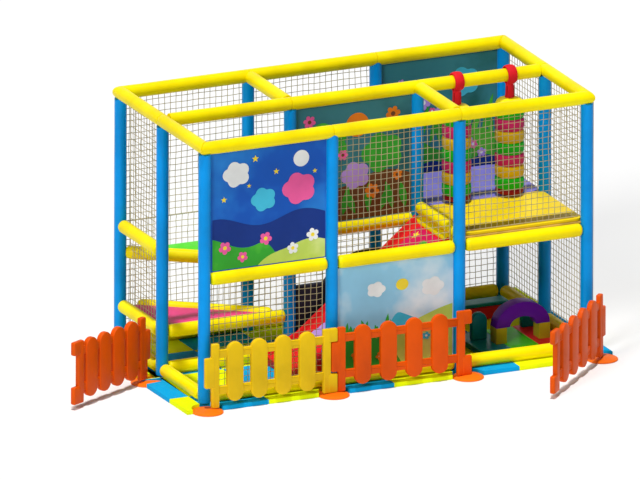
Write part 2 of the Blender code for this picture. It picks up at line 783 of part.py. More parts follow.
def panel_loops(length, bottom):
    """Rim and holes of a picket panel in X and Z, from its hinge axis at 0 to the axis that its far end reaches."""
    post0, post1 = END_POST_START, END_POST_START + END_POST_W
    post2, post3 = length - post1, length - post0
    gap_w = (post2 - post1 - PICKETS * PICKET_W) / (PICKETS + 1)
    pickets = [post1 + gap_w + k * (PICKET_W + gap_w) for k in range(PICKETS)]
    half = PICKET_W / 2
    end = length + LUG_R
    rail0, rail1 = PANEL_RAIL_LOW[0], PANEL_RAIL_HIGH[1]

    def dome(x, top):
        """A picket's round end, from left to right."""
        sign = 1 if top else -1
        centre = PICKET_HIGH - half if top else PICKET_LOW + half
        turns = [math.pi * k / PICKET_STEPS for k in range(1, PICKET_STEPS)]
        return [(x + half - half * math.cos(a), centre + sign * half * math.sin(a)) for a in turns]

    # The lower edge runs to the right, the upper edge back to the left
    rim = [(post0, bottom), (post1, bottom), (post1, rail0)]
    for x in pickets:
        rim += [(x, rail0), *dome(x, False), (x + PICKET_W, rail0)]
    rim += [(post2, rail0), (post2, bottom), (end, bottom), (end, LUG_LOW - LUG_CLEAR)]
    rim += [(post3, LUG_LOW - LUG_CLEAR), (post3, LUG_HIGH + LUG_CLEAR / 4), (end, LUG_HIGH + LUG_CLEAR / 4)]
    rim += [(end, PANEL_TOP), (post2, PANEL_TOP), (post2, rail1)]
    for x in reversed(pickets):
        rim += [(x + PICKET_W, rail1), *reversed(dome(x, True)), (x, rail1)]
    rim += [(post1, rail1), (post1, PANEL_TOP), (post0, PANEL_TOP)]
    rim += [(post0, LUG_HIGH), (-LUG_R, LUG_HIGH), (-LUG_R, LUG_LOW), (post0, LUG_LOW)]
    starts = [post1] + [x + PICKET_W for x in pickets]
    low, high = PANEL_RAIL_LOW[1], PANEL_RAIL_HIGH[0]
    holes = [[(a, low), (b, low), (b, high), (a, high)] for a, b in zip(starts, [*pickets, post2])]
    return [rim, *holes]


def make_panel(name, place, turn, length, bottom, colour, bores):
    """A picket panel with its lug's axis at its origin."""
    bm = bmesh.new()
    add_plate(bm, panel_loops(length, bottom), -FENCE_T / 2, FENCE_T / 2, STAND_X)
    panel = add_object(name, bm, colour, 0.4)
    bm = bmesh.new()
    radius = (PIN_R + PIN_PLAY) / math.cos(math.pi / PIN_SIDES)
    for x in bores:
        add_bar(bm, Vector((x, 0.0, 0.0)), Vector((x, 0.0, PANEL_TOP + FENCE_T)), radius, PIN_SIDES)
    cutter = add_helper(f"{name}_pin_clearance", bm)
    cutter.parent = panel
    add_boolean(panel, "Pin bores", "DIFFERENCE", cutter)
    panel.location = (*place, 0.0)
    panel.rotation_euler = (0.0, 0.0, turn)


def build_fence():
    hinge_left, corner, second, third, hinge_right = foot_centres()
    pitches = FENCE_PITCHES
    make_panel("fence_panel_yellow", corner, 0.0, pitches[0], PANEL_BOTTOM, FENCE_YELLOW, (pitches[0],))
    make_panel("fence_panel_orange", second, 0.0, pitches[1], PANEL_BOTTOM, FENCE_ORANGE, (0.0, pitches[1]))
    across = Vector(corner) - Vector(hinge_left)
    turn = math.atan2(across.y, across.x) - LEFT_GATE_OPEN
    make_panel("gate_left", hinge_left, turn, across.length, GATE_BOTTOM, FENCE_ORANGE, (0.0,))
    length = pitches[2] - RIGHT_GATE_SHORT
    make_panel("gate_right", hinge_right, math.pi + RIGHT_GATE_OPEN, length, GATE_BOTTOM, FENCE_ORANGE, (0.0,))
    dome = [(FOOT_R, 0.0), (FOOT_R, FOOT_EDGE_H), (FOOT_CROWN_R, FOOT_H)]
    for name, centre, top in (
        ("foot_gate_left", hinge_left, LUG_HIGH),
        ("foot_fence_1", corner, None),
        ("foot_fence_2", second, PANEL_TOP),
        ("foot_fence_3", third, PANEL_TOP),
        ("foot_gate_right", hinge_right, LUG_HIGH),
    ):
        pin = [(PIN_R, FOOT_H), (PIN_R, top)] if top else []
        bm = bmesh.new()
        add_turned(bm, dome + pin, FOOT_SIDES)
        foot = add_object(name, bm, FOOT_ORANGE, 0.4, smooth=True)
        foot.location = (*centre, 0.0)


def main():
    for obj in list(bpy.data.objects):
        bpy.data.objects.remove(obj, do_unlink=True)
    post_clearance = build_post_clearance()
    build_post_pads()
    for name, level, group, sloping in (
        ("floor_rail_pads", "floor", "outer", False),
        ("low_platform_rail_pads", "low", "outer", True),
        ("high_platform_rail_pads", "high", "outer", True),
        ("mid_rail_pads_outer", "mid", "outer", False),
        ("mid_rail_pads_inner", "mid", "inner", False),
        ("mid_rail_pad_left", "mid", "left", False),
        ("top_rail_pads_outer", "top", "outer", False),
        ("top_rail_pads_inner", "top", "inner", False),
    ):
        build_rail_pads(name, level, group, post_clearance, sloping)
    floor_top = build_upper_floor(post_clearance)
    build_nets(floor_top)
    build_prints()
    build_bumper()
    build_platforms()
    build_tiles()
    build_slide()
    build_partition()
    for label, offset in BAG_PLACES.items():
        build_bag(label, offset, floor_top)
    build_toddler_corner()
    build_fence()


main()
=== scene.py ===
"""The indoor playground as it looks: padded frame, nets, printed walls, slide, bags, blocks and fence."""

import json
import math

import bmesh
import bpy
from mathutils import Matrix, Vector, noise

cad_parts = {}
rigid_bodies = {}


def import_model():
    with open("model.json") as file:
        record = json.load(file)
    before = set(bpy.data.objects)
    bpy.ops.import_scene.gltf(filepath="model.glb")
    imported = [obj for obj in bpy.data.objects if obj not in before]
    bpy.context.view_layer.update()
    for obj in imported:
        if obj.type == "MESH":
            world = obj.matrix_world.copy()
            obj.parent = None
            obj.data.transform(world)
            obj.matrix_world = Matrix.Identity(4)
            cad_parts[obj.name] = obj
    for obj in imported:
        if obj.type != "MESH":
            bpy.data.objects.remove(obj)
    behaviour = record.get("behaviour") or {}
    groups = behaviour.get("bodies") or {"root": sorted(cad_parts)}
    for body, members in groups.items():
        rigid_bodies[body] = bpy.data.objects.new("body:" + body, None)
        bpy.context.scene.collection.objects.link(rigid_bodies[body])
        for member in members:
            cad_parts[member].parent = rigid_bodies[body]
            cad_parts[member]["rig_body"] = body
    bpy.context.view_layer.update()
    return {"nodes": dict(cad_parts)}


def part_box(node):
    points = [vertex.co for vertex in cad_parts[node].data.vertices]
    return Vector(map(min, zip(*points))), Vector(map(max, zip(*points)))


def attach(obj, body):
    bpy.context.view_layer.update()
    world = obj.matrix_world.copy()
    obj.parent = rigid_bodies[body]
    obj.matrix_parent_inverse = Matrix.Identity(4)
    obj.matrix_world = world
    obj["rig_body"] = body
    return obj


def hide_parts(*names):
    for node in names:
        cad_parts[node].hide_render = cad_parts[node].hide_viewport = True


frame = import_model()

NODES = frame["nodes"]
POST_X = (-1.83, -0.61, 0.61, 1.83)
POST_Y = (-0.885, 0.0, 0.885)
RAIL_Z = {"floor": 0.0983, "low": 0.43, "high": 0.91, "mid": 1.16, "top": 2.36}
POST_R = 0.055
RAIL_R = 0.058
TILE_T = 0.04
FOOT_PLACES = {
    "foot_gate_left": (-2.0, -0.049),
    "foot_fence_1": (-1.865, -1.04),
    "foot_fence_2": (-0.658, -1.04),
    "foot_fence_3": (0.627, -1.04),
    "foot_gate_right": (1.912, -1.04),
}
FOOT_CUT_R = 0.1403
UP = Vector((0.0, 0.0, 1.0))
EAST, NORTH = Vector((1.0, 0.0, 0.0)), Vector((0.0, 1.0, 0.0))


# Materials

# How far scuffs wear a surface, and how much it gleams
SCUFF = 0.25
GLEAM = 0.12


def linear(rgb):
    """An sRGB colour of 0 to 255 as linear values."""
    return tuple(((c / 255 + 0.055) / 1.055) ** 2.4 if c > 10 else c / 255 / 12.92 for c in rgb)


def shade(rgb, factor):
    return tuple(min(1.0, c * factor) for c in rgb) + (1.0,)


def material(name, rgb, rough=0.4, drift=0.12, scale=2.2, grain=260.0, bump=0.12, fold=0.25, weave=False,
             second=None):
    """A procedural surface: colour drifts and scuffs by noise, with a fine grain and soft folds as bump."""
    base = linear(rgb)
    mat = bpy.data.materials.new(name)
    mat.use_nodes = True
    mat.diffuse_color = base + (1.0,)
    tree = mat.node_tree
    shader = tree.nodes["Principled BSDF"]
    shader.inputs["Specular IOR Level"].default_value = GLEAM
    coords = tree.nodes.new("ShaderNodeTexCoord").outputs["Object"]

    def noise_of(size, detail=4.0, rough_detail=0.55):
        node = tree.nodes.new("ShaderNodeTexNoise")
        node.inputs["Scale"].default_value = size
        node.inputs["Detail"].default_value = detail
        node.inputs["Roughness"].default_value = rough_detail
        tree.links.new(coords, node.inputs["Vector"])
        return node.outputs["Fac"]

    def ramp_of(source, stops):
        node = tree.nodes.new("ShaderNodeValToRGB")
        while len(node.color_ramp.elements) < len(stops):
            node.color_ramp.elements.new(0.5)
        for element, (place, colour) in zip(node.color_ramp.elements, stops):
            element.position, element.color = place, colour
        tree.links.new(source, node.inputs["Fac"])
        return node.outputs["Color"]

    broad = noise_of(scale)
    far = shade(linear(second), 1.0) if second else shade(base, 1.0 + drift)
    tone = ramp_of(broad, [(0.34, shade(base, 1.0 - drift)), (0.5, shade(base, 1.0)), (0.68, far)])
    scuffs = ramp_of(noise_of(scale * 11.0, 9.0, 0.72), [(0.60, (0, 0, 0, 1)), (0.74, (SCUFF,) * 3 + (1,))])
    mix = tree.nodes.new("ShaderNodeMix")
    mix.data_type = "RGBA"
    grey = sum(base) / 3
    mix.inputs["B"].default_value = tuple(0.72 * c + 0.28 * grey * 0.7 for c in base) + (1.0,)
    tree.links.new(scuffs, mix.inputs["Factor"])
    tree.links.new(tone, mix.inputs["A"])
    tree.links.new(mix.outputs["Result"], shader.inputs["Base Color"])
    spread = tree.nodes.new("ShaderNodeMapRange")
    spread.inputs["To Min"].default_value = max(0.05, rough - 0.1)
    spread.inputs["To Max"].default_value = min(1.0, rough + 0.14)
    tree.links.new(noise_of(scale * 6.0, 6.0), spread.inputs["Value"])
    tree.links.new(spread.outputs["Result"], shader.inputs["Roughness"])
    below = None
    fine = noise_of(grain, 3.0)
    if weave:
        wave = tree.nodes.new("ShaderNodeTexWave")
        wave.inputs["Scale"].default_value = grain
        wave.inputs["Distortion"].default_value = 1.5
        tree.links.new(coords, wave.inputs["Vector"])
        fine = wave.outputs["Fac"]
    for height, strength, distance in ((noise_of(scale * 3.2, 2.0), fold, 0.012), (fine, bump, 0.0012)):
        node = tree.nodes.new("ShaderNodeBump")
        node.inputs["Strength"].default_value = strength
        node.inputs["Distance"].default_value = distance
        tree.links.new(height, node.inputs["Height"])
        if below:
            tree.links.new(below, node.inputs["Normal"])
        below = node.outputs["Normal"]
    tree.links.new(below, shader.inputs["Normal"])
    return mat


VINYL = {"rough": 0.36, "fold": 0.22, "scale": 2.4}
FLOOR_FOAM = {"rough": 0.7, "grain": 420.0, "bump": 0.45, "fold": 0.05}
PLASTIC = {"rough": 0.42, "grain": 340.0, "fold": 0.04}
INK = {"rough": 0.5, "fold": 0.1}
GLOSSY_INK = {"rough": 0.4, "fold": 0.1}
COLOURS = (
    (VINYL, {
        "post_blue": (0, 150, 232),
        "rail_yellow": (255, 232, 0),
        "yellow": (246, 214, 22),
        # A darker yellow: painted shadow of the front net on the front strip of the yellow floor mat
        "yellow_shade": (196, 164, 14),
        "lavender": (128, 122, 205),
        "azure": (40, 128, 205),
        "magenta": (226, 48, 126),
        "green": (84, 226, 24),
        "bag_green": (28, 176, 22),
        "bag_magenta": (196, 34, 94),
        "bag_gold": (214, 172, 8),
        "bag_cap": (255, 238, 20),
        "bag_base": (136, 16, 22),
        "red": (226, 36, 40),
        "teal": (8, 132, 142),
        "purple": (82, 8, 138),
        "olive": (176, 160, 30),
    }),
    (FLOOR_FOAM, {"mat_cyan": (0, 160, 218), "mat_lime": (232, 250, 0)}),
    (PLASTIC, {"fence_yellow": (232, 192, 16), "fence_orange": (226, 84, 0), "foot_orange": (255, 116, 16)}),
    (INK, {
        "ink_white": (240, 242, 240),
        "ink_pink": (240, 96, 160),
        "ink_orange": (238, 130, 30),
        "ink_brown": (112, 70, 40),
        "ink_lilac": (186, 150, 226),
        "ink_sun": (250, 222, 60),
        "ink_deep": (24, 54, 130),
        "ink_aqua": (70, 190, 220),
    }),
    (GLOSSY_INK, {"ink_blue": (40, 100, 210), "ink_purple": (120, 60, 170)}),
)
MATS = {name: material(name, rgb, **finish) for finish, colours in COLOURS for name, rgb in colours.items()}
for name, rgb, finish in (
    ("cord", (196, 182, 142), {"rough": 0.85, "grain": 700.0, "bump": 0.5, "fold": 0.1, "weave": True}),
    ("plywood", (208, 168, 84),
     {"rough": 0.6, "scale": 6.0, "drift": 0.25, "grain": 90.0, "weave": True, "fold": 0.1}),
    ("strap_red", (222, 28, 40), {"rough": 0.6, "grain": 520.0, "bump": 0.4, "weave": True}),
    ("slide_red", (232, 38, 40), {"rough": 0.26, "fold": 0.1, "scale": 1.6}),
    # Near black as painted shade: it colours the domed wall, which stands in deep shadow inside the frame
    ("deep_shade_black", (30, 32, 42), {"rough": 0.45, "fold": 0.3, "second": (52, 56, 70)}),
    ("print_night", (24, 88, 186), {"rough": 0.45, "second": (44, 138, 220), "scale": 1.1}),
    ("print_sky", (150, 208, 236), {"rough": 0.45, "second": (236, 246, 250), "scale": 1.3}),
    ("print_grove", (62, 128, 138), {"rough": 0.45, "second": (34, 84, 92), "scale": 1.3}),
    ("print_lagoon", (58, 134, 146), {"rough": 0.45, "second": (30, 96, 92), "scale": 1.4}),
    ("ink_leaf", (58, 168, 52), {**INK, "second": (96, 200, 60)}),
    ("ink_meadow", (196, 220, 96), {**INK, "second": (222, 236, 140)}),
    ("ink_rose", (214, 26, 92), {"rough": 0.3, "fold": 0.1}),
):
    MATS[name] = material(name, rgb, **finish)


# Shapes

# How finely and from which angle on a solid's edges are rounded
EASE_STEPS = 4
EASE_ANGLE = 28.0
# The turns of a sewn welt's five sides
WELT_TURNS = (0.0, 1.26, 2.51, 3.77, 5.03)


def as_given(u, v, w):
    return Vector((u, v, w))


class Shape:
    """The points and faces of one piece, with the place of each face's material in the piece's list."""

    def __init__(self):
        self.points, self.faces, self.marks = [], [], []

    def add(self, rings, mark=0, cyclic=False):
        """Joins rings of equally many points, each running anticlockwise about the way from first to last."""
        start, count, rows = len(self.points), len(rings[0]), len(rings)
        for ring in rings:
            self.points.extend(ring)
        for i in range(rows if cyclic else rows - 1):
            low, high = start + i * count, start + (i + 1) % rows * count
            for j in range(count):
                k = (j + 1) % count
                self.faces.append((low + j, low + k, high + k, high + j))
        made = count * (rows if cyclic else rows - 1)
        if not cyclic:
            self.faces.append(tuple(start + j for j in reversed(range(count))))
            self.faces.append(tuple(start + (rows - 1) * count + j for j in range(count)))
            made += 2
        self.marks.extend([mark] * made)

    def bar(self, a, b, profile, sides, mark=0, turned=(None, None)):
        """A round bar from a to b, by (way from a, radius). Either end may be mitred against a direction."""
        a, b = Vector(a), Vector(b)
        along = (b - a).normalized()
        side = along.cross(UP if abs(along.z) < 0.9 else Vector((0.0, 1.0, 0.0))).normalized()
        over = side.cross(along)
        rings = []
        length = (b - a).length
        for way, radius in profile:
            ring = []
            for step in range(sides):
                angle = math.tau * step / sides
                out = (over * math.cos(angle) + side * math.sin(angle)) * radius
                shift = 0.0
                if turned[0] and way < 0.05:
                    shift = out.dot(turned[0])
                if turned[1] and way > length - 0.05:
                    shift = -out.dot(turned[1])
                ring.append(a + along * (way + shift) + out)
            rings.append(ring)
        self.add(rings, mark)

    def turned(self, centre, profile, sides, marks=None):
        """A form turned about a vertical axis at centre; profile gives (radius, height)."""
        turns = [math.tau * k / sides for k in range(sides)]
        self.add([[Vector((centre[0] + r * math.cos(t), centre[1] + r * math.sin(t), z)) for t in turns]
                  for r, z in profile])
        if marks:
            first = len(self.marks) - (len(profile) - 1) * sides - 2
            for i in range(len(profile) - 1):
                for j in range(sides):
                    self.marks[first + i * sides + j] = marks(0.5 * (profile[i][1] + profile[i + 1][1]))
            self.marks[-2], self.marks[-1] = marks(profile[0][1]), marks(profile[-1][1])

    def slab(self, outline, layers, mark=0, place=as_given, crown=()):
        """A flat piece over an anticlockwise outline, by (inset, height), with a crown by (share, height)."""
        levels = [(inset(outline, depth), height) for depth, height in layers]
        rim = levels[-1][0]
        middle = sum(rim, Vector((0.0, 0.0))) / len(rim)
        levels += [([middle + (p - middle) * share for p in rim], height) for share, height in crown]
        self.add([[place(p.x, p.y, height) for p in ring] for ring, height in levels], mark)


def inset(outline, depth):
    """The outline moved inwards by depth."""
    outline, moved = [Vector(p) for p in outline], []
    for i, here in enumerate(outline):
        before = (here - outline[i - 1]).normalized()
        after = (outline[(i + 1) % len(outline)] - here).normalized()
        inward = Vector((-(before.y + after.y), before.x + after.x))
        if inward.length < 1e-6:
            moved.append(here)
            continue
        inward.normalize()
        moved.append(here + inward * depth / max(0.25, inward.dot(Vector((-before.y, before.x)))))
    return moved


def rounded(outline, radius, steps=6):
    """The outline with each corner rounded."""
    outline, made = [Vector(p) for p in outline], []
    for i, here in enumerate(outline):
        back = (outline[i - 1] - here).normalized()
        ahead = (outline[(i + 1) % len(outline)] - here).normalized()
        half = 0.5 * back.angle(ahead)
        cut = radius / math.tan(half)
        centre = here + (back + ahead).normalized() * radius / math.sin(half)
        first, last = here + back * cut - centre, here + ahead * cut - centre
        start = math.atan2(first.y, first.x)
        sweep = (math.atan2(last.y, last.x) - start) % math.tau
        turns = [start + sweep * k / steps for k in range(steps + 1)]
        made += [centre + radius * Vector((math.cos(t), math.sin(t))) for t in turns]
    return made


def rectangle(x0, y0, x1, y1):
    return [(x0, y0), (x1, y0), (x1, y1), (x0, y1)]


def piece(name, shape, materials, node, sharp=38.0, replace=True):
    """Makes a piece from a shape or a bmesh, on the body of a CAD node and in its place."""
    mesh = bpy.data.meshes.new(name)
    if isinstance(shape, Shape):
        mesh.from_pydata(shape.points, [], shape.faces)
        mesh.polygons.foreach_set("material_index", shape.marks)
    else:
        shape.to_mesh(mesh)
        shape.free()
    for key in materials:
        mesh.materials.append(MATS[key])
    mesh.polygons.foreach_set("use_smooth", [True] * len(mesh.polygons))
    mesh.set_sharp_from_angle(angle=math.radians(sharp))
    mesh.update()
    obj = bpy.data.objects.new(name, mesh)
    bpy.context.scene.collection.objects.link(obj)
    if replace:
        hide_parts(node)
    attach(obj, NODES[node]["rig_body"])
    return obj


def eased(node, width, paint=None):
    """The node's solid with its sharp edges rounded over, and its faces coloured by paint(centre, normal)."""
    bm = bmesh.new()
    bm.from_mesh(NODES[node].data)
    bmesh.ops.remove_doubles(bm, verts=bm.verts, dist=3e-5)
    bmesh.ops.dissolve_limit(bm, angle_limit=math.radians(0.8), verts=bm.verts, edges=bm.edges)
    limit = math.radians(EASE_ANGLE)
    edges = [e for e in bm.edges if len(e.link_faces) == 2 and e.calc_face_angle(0.0) > limit]
    bmesh.ops.bevel(bm, geom=edges, offset=width, offset_type="OFFSET", segments=EASE_STEPS, profile=0.5,
                    affect="EDGES", clamp_overlap=True)
    bmesh.ops.recalc_face_normals(bm, faces=bm.faces)
    for face in bm.faces:
        face.material_index = paint(face.calc_center_median(), face.normal) if paint else 0
    return bm


def piping(shape, outline, height, radius, mark=0, place=as_given):
    """A sewn welt that follows an outline at one height."""
    rings, count = [], len(outline)
    for i, here in enumerate(outline):
        ahead = (Vector(outline[(i + 1) % count]) - Vector(outline[i - 1])).normalized()
        out = Vector((ahead.y, -ahead.x))
        rings.append([place(here[0] + out.x * radius * math.cos(t), here[1] + out.y * radius * math.cos(t),
                            height + radius * math.sin(t)) for t in WELT_TURNS])
    shape.add(rings, mark, cyclic=True)


# Posts

POST_TURNS = [(math.cos(math.tau * k / 36), math.sin(math.tau * k / 36)) for k in range(36)]
POST_STEPS = 26
COVER_LOW, COVER_LENGTH = 0.06, 2.2
COVER_R = POST_R - 0.0006
COPE_R = 0.0585
SEAM_R = POST_R - 0.0008
SEAM_TURN = math.radians(62.0)


def rails_over(col, row):
    """The directions of the top rails that pass over a post."""
    ways = [Vector((1.0, 0.0))]
    if col in (0, 3) or (col, row) in ((1, 1), (1, 2), (2, 0), (2, 1)):
        ways.append(Vector((0.0, 1.0)))
    return ways


for row, row_name in enumerate(("front", "middle", "back")):
    for col in range(4):
        node = f"post_pad_{row_name}_{col + 1}"
        x, y = POST_X[col], POST_Y[row]
        shape = Shape()
        heights = [TILE_T + 0.0006, TILE_T + 0.004]
        heights += [COVER_LOW + COVER_LENGTH * k / POST_STEPS for k in range(POST_STEPS + 1)]
        rings = []
        for number, z in enumerate(heights):
            bulge = 0.0012 * noise.noise(Vector((x * 7, y * 7, z * 2.3))) - (0.004 if number == 0 else 0.0)
            radius = COVER_R + bulge
            rings.append([Vector((x + radius * c, y + radius * s, z)) for c, s in POST_TURNS])
        top = []
        for c, s in POST_TURNS:
            out = Vector((c, s)) * (POST_R - 0.001)
            away = [out.length_squared - out.dot(way) ** 2 for way in rails_over(col, row)]
            drop = max(math.sqrt(max(0.0, COPE_R ** 2 - a)) for a in away)
            top.append(Vector((x + out.x, y + out.y, RAIL_Z["top"] - drop)))
        rings.append(top)
        shape.add(rings)
        turn = SEAM_TURN if row < 2 else -SEAM_TURN
        seam = Vector((x + SEAM_R * math.cos(turn), y + SEAM_R * math.sin(turn), COVER_LOW))
        ridge = [(0.0, 0.0015), (0.004, 0.0026), (COVER_LENGTH - 0.01, 0.0026), (COVER_LENGTH, 0.0015)]
        shape.bar(seam, seam + UP * COVER_LENGTH, ridge, sides=6)
        piece(f"post_cover_{row_name}_{col + 1}", shape, ["post_blue"], node)


# Rails

# How a sleeve narrows where it meets another piece, by (way from the post's axis, radius)
ENDS = {
    "post": [(0.0566, 0.030), (0.0572, 0.0405), (0.0625, 0.0488),
             (0.072, 0.0545), (0.086, 0.0576), (0.1, RAIL_R)],
    "butt": [(0.001, 0.0525), (0.004, 0.0566), (0.012, RAIL_R)],
    "mitre": [(0.001, 0.0525), (0.004, 0.0566), (0.014, RAIL_R), (0.09, RAIL_R)],
    "tee": [(0.0608, 0.0535), (0.0645, 0.0575), (0.07, RAIL_R)],
    "slant": [(0.155, 0.026), (0.158, 0.036), (0.172, 0.049), (0.19, 0.0555), (0.21, RAIL_R)],
}
BUMPER_END = [(0.0008, 0.03), (0.002, 0.042), (0.008, 0.05), (0.02, 0.0545), (0.05, 0.0549)]
SLEEVE_STEP = 0.09


def sleeve(shape, level, first, last, kinds=("post", "post"), turned=(None, None)):
    """One padded sleeve between two posts, given as (column, row)."""
    a = Vector((POST_X[first[0]], POST_Y[first[1]], RAIL_Z[level]))
    b = Vector((POST_X[last[0]], POST_Y[last[1]], RAIL_Z[level]))
    length = (b - a).length
    start, finish = ENDS[kinds[0]], [(length - t, r) for t, r in reversed(ENDS[kinds[1]])]
    count = max(2, round((finish[0][0] - start[-1][0]) / SLEEVE_STEP))
    middle = []
    for k in range(1, count):
        t = start[-1][0] + (finish[0][0] - start[-1][0]) * k / count
        bulge = 0.0011 * noise.noise(a * 3.1 + Vector((t * 4.7, level.count("o"), 1.0))) - 0.0004
        middle.append((t, RAIL_R + bulge))
    shape.bar(a, b, start + middle + finish, sides=32, turned=turned)
    along = (b - a).normalized()
    out = (along.cross(UP) * 0.42 - UP * 0.9).normalized() * (RAIL_R - 0.0006)
    t0, t1 = start[-1][0] + 0.004, finish[0][0] - 0.004
    ridge = [(0.0, 0.0012), (0.004, 0.0026), (t1 - t0 - 0.004, 0.0026), (t1 - t0, 0.0012)]
    shape.bar(a + along * t0 + out, a + along * t1 + out, ridge, sides=6)


def bays(first, last):
    """The neighbouring posts along a straight run."""
    steps = max(abs(last[0] - first[0]), abs(last[1] - first[1]))
    places = [(first[0] + (last[0] - first[0]) * k // steps, first[1] + (last[1] - first[1]) * k // steps)
              for k in range(steps + 1)]
    return list(zip(places, places[1:]))


PLAIN_RUNS = {
    "floor_rail_pads": (
        "floor",
        [((0, 0), (3, 0)), ((0, 2), (3, 2)), ((0, 0), (0, 2)), ((3, 0), (3, 2)), ((0, 1), (1, 1))],
    ),
    "low_platform_rail_pads": ("low", [((0, 1), (1, 1)), ((0, 1), (0, 2))]),
    "high_platform_rail_pads": ("high", [((1, 1), (1, 2))]),
    "mid_rail_pads_outer": ("mid", [((0, 0), (3, 0)), ((1, 2), (3, 2)), ((3, 0), (3, 2))]),
    "mid_rail_pads_inner": ("mid", [((1, 1), (3, 1)), ((1, 1), (1, 2)), ((2, 0), (2, 1))]),
    "mid_rail_pad_left": ("mid", [((0, 1), (0, 2))]),
}
for node, (level, runs) in PLAIN_RUNS.items():
    shape = Shape()
    for run in runs:
        for a, b in bays(*run):
            sleeve(shape, level, a, b)
    if level in ("low", "high"):
        sleeve(shape, level, (0, 2), (1, 1), ("post" if level == "high" else "slant", "slant"))
    piece(node.replace("pad", "cover"), shape, ["rail_yellow"], node)

shape = Shape()
for row, inward in ((0, NORTH), (2, -NORTH)):
    for col in range(3):
        kinds = ("mitre" if col == 0 else "butt", "mitre" if col == 2 else "butt")
        mitres = (inward if col == 0 else None, inward if col == 2 else None)
        sleeve(shape, "top", (col, row), (col + 1, row), kinds, mitres)
for col, inward in ((0, EAST), (3, -EAST)):
    for row in range(2):
        kinds = ("mitre", "butt") if row == 0 else ("butt", "mitre")
        mitres = (inward if row == 0 else None, inward if row == 1 else None)
        sleeve(shape, "top", (col, row), (col, row + 1), kinds, mitres)
piece("top_rail_covers_outer", shape, ["rail_yellow"], "top_rail_pads_outer")
shape = Shape()
for col, kinds in ((0, ("tee", "butt")), (1, ("butt", "butt")), (2, ("butt", "tee"))):
    sleeve(shape, "top", (col, 1), (col + 1, 1), kinds)
sleeve(shape, "top", (1, 1), (1, 2), ("tee", "tee"))
sleeve(shape, "top", (2, 0), (2, 1), ("tee", "tee"))
piece("top_rail_covers_inner", shape, ["rail_yellow"], "top_rail_pads_inner")

low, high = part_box("slide_bumper_roll")
shape = Shape()
middle = (low + high) / 2
length = high.y - low.y
profile = BUMPER_END + [(length - t, r) for t, r in reversed(BUMPER_END)]
shape.bar((middle.x, low.y, middle.z), (middle.x, high.y, middle.z), profile, sides=32)
piece("slide_bumper_cover", shape, ["rail_yellow"], "slide_bumper_roll")


# Nets

NET_STEP, CORD_R, KNOT_R = 0.056, 0.0029, 0.0052
NET_SEED = 41
EDGE_CORD = 1.6
# How far the edge cords lie inside the solid, the cords stray, the knots shift, and crossing cords lie apart
NET_INSET, STRAY, SHIFT, APART = 0.003, 0.010, 0.003, 0.0011
# Vector noise is seeded by the clock unless it is given a seed
noise.seed_set(NET_SEED)
for node in [n for n in NODES if n.startswith("net_")]:
    low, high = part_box(node)
    thin = 0 if high.x - low.x < high.y - low.y else 1
    wide = 1 - thin
    across, flat = Vector((0.0, 0.0, 0.0)), Vector((0.0, 0.0, 0.0))
    across[thin], flat[wide] = 1.0, 1.0
    if across.cross(flat).z < 0:
        across = -across
    middle = (low[thin] + high[thin]) / 2
    columns = max(2, round((high[wide] - low[wide]) / NET_STEP))
    rows = max(2, round((high.z - low.z) / NET_STEP))
    grid = []
    for i in range(columns + 1):
        line = []
        for j in range(rows + 1):
            point = Vector((0.0, 0.0, low.z + NET_INSET + (high.z - low.z - 2 * NET_INSET) * j / rows))
            point[wide] = low[wide] + NET_INSET + (high[wide] - low[wide] - 2 * NET_INSET) * i / columns
            point[thin] = middle
            if 0 < i < columns and 0 < j < rows:
                drift = noise.noise_vector(point * 2.6) * STRAY + noise.noise_vector(point * 31.0) * SHIFT
                drift[thin] *= 0.25
                point += drift
            line.append(point)
        grid.append(line)
    shape = Shape()
    for lines, side, sign in ((grid, flat, 1), (list(zip(*grid)), UP, -1)):
        for number, line in enumerate(lines):
            edge = number in (0, len(lines) - 1)
            radius = CORD_R * (EDGE_CORD if edge and "back" not in node else 1.0)
            rings = []
            for place, point in enumerate(line):
                point = point + across * sign * (0.0 if edge else APART if (place + number) % 2 else -APART)
                corners = [across * radius, side * radius, -across * radius, -side * radius]
                rings.append([point + c for c in (corners if sign > 0 else corners[::-1])])
            shape.add(rings)
    for line in grid[1:-1]:
        for point in line[1:-1]:
            start = len(shape.points)
            shape.points += [point + way * KNOT_R for way in (across, -across, flat, UP, -flat, -UP)]
            for k in range(4):
                here, ahead = start + 2 + k, start + 2 + (k + 1) % 4
                shape.faces += [(start, here, ahead), (start + 1, ahead, here)]
            shape.marks += [0] * 8
    piece(f"{node}_cords", shape, ["cord"], node, sharp=60.0)


# Printed walls

# The width of the printed field, the height of its foot, and the height of the taller sheets
W = 1.09
FOOT_V = 0.004
TALL_SHEET = 1.0833
SHEET_STEPS = 22


def ring_of(u, v, radius, count, wave=lambda t: 1.0, turn=0.0):
    made = []
    for k in range(count):
        t = math.tau * k / count
        reach = radius * wave(t)
        made.append((u + reach * math.cos(t + turn), v + reach * math.sin(t + turn)))
    return made


def disc(u, v, radius):
    return ring_of(u, v, radius, 28)


def flower(u, v, radius, petals=5, turn=0.0):
    return ring_of(u, v, radius, petals * 10,
                   lambda t: 0.62 + 0.38 * abs(math.cos(petals * t / 2)) ** 0.7, turn)


def star(u, v, radius):
    return ring_of(u, v, radius, 10, lambda t: 1.0 if round(t / math.tau * 10) % 2 == 0 else 0.42, 0.3)


def leaf(u, v, length, width, angle):
    shape = []
    for k in range(20):
        t = k / 20
        s = 2 * t if t < 0.5 else 2 - 2 * t
        across = width / 2 * math.sin(math.pi * s) * (1 if t < 0.5 else -1)
        shape.append((u + s * length * math.cos(angle) + across * math.sin(angle),
                      v + s * length * math.sin(angle) - across * math.cos(angle)))
    return shape


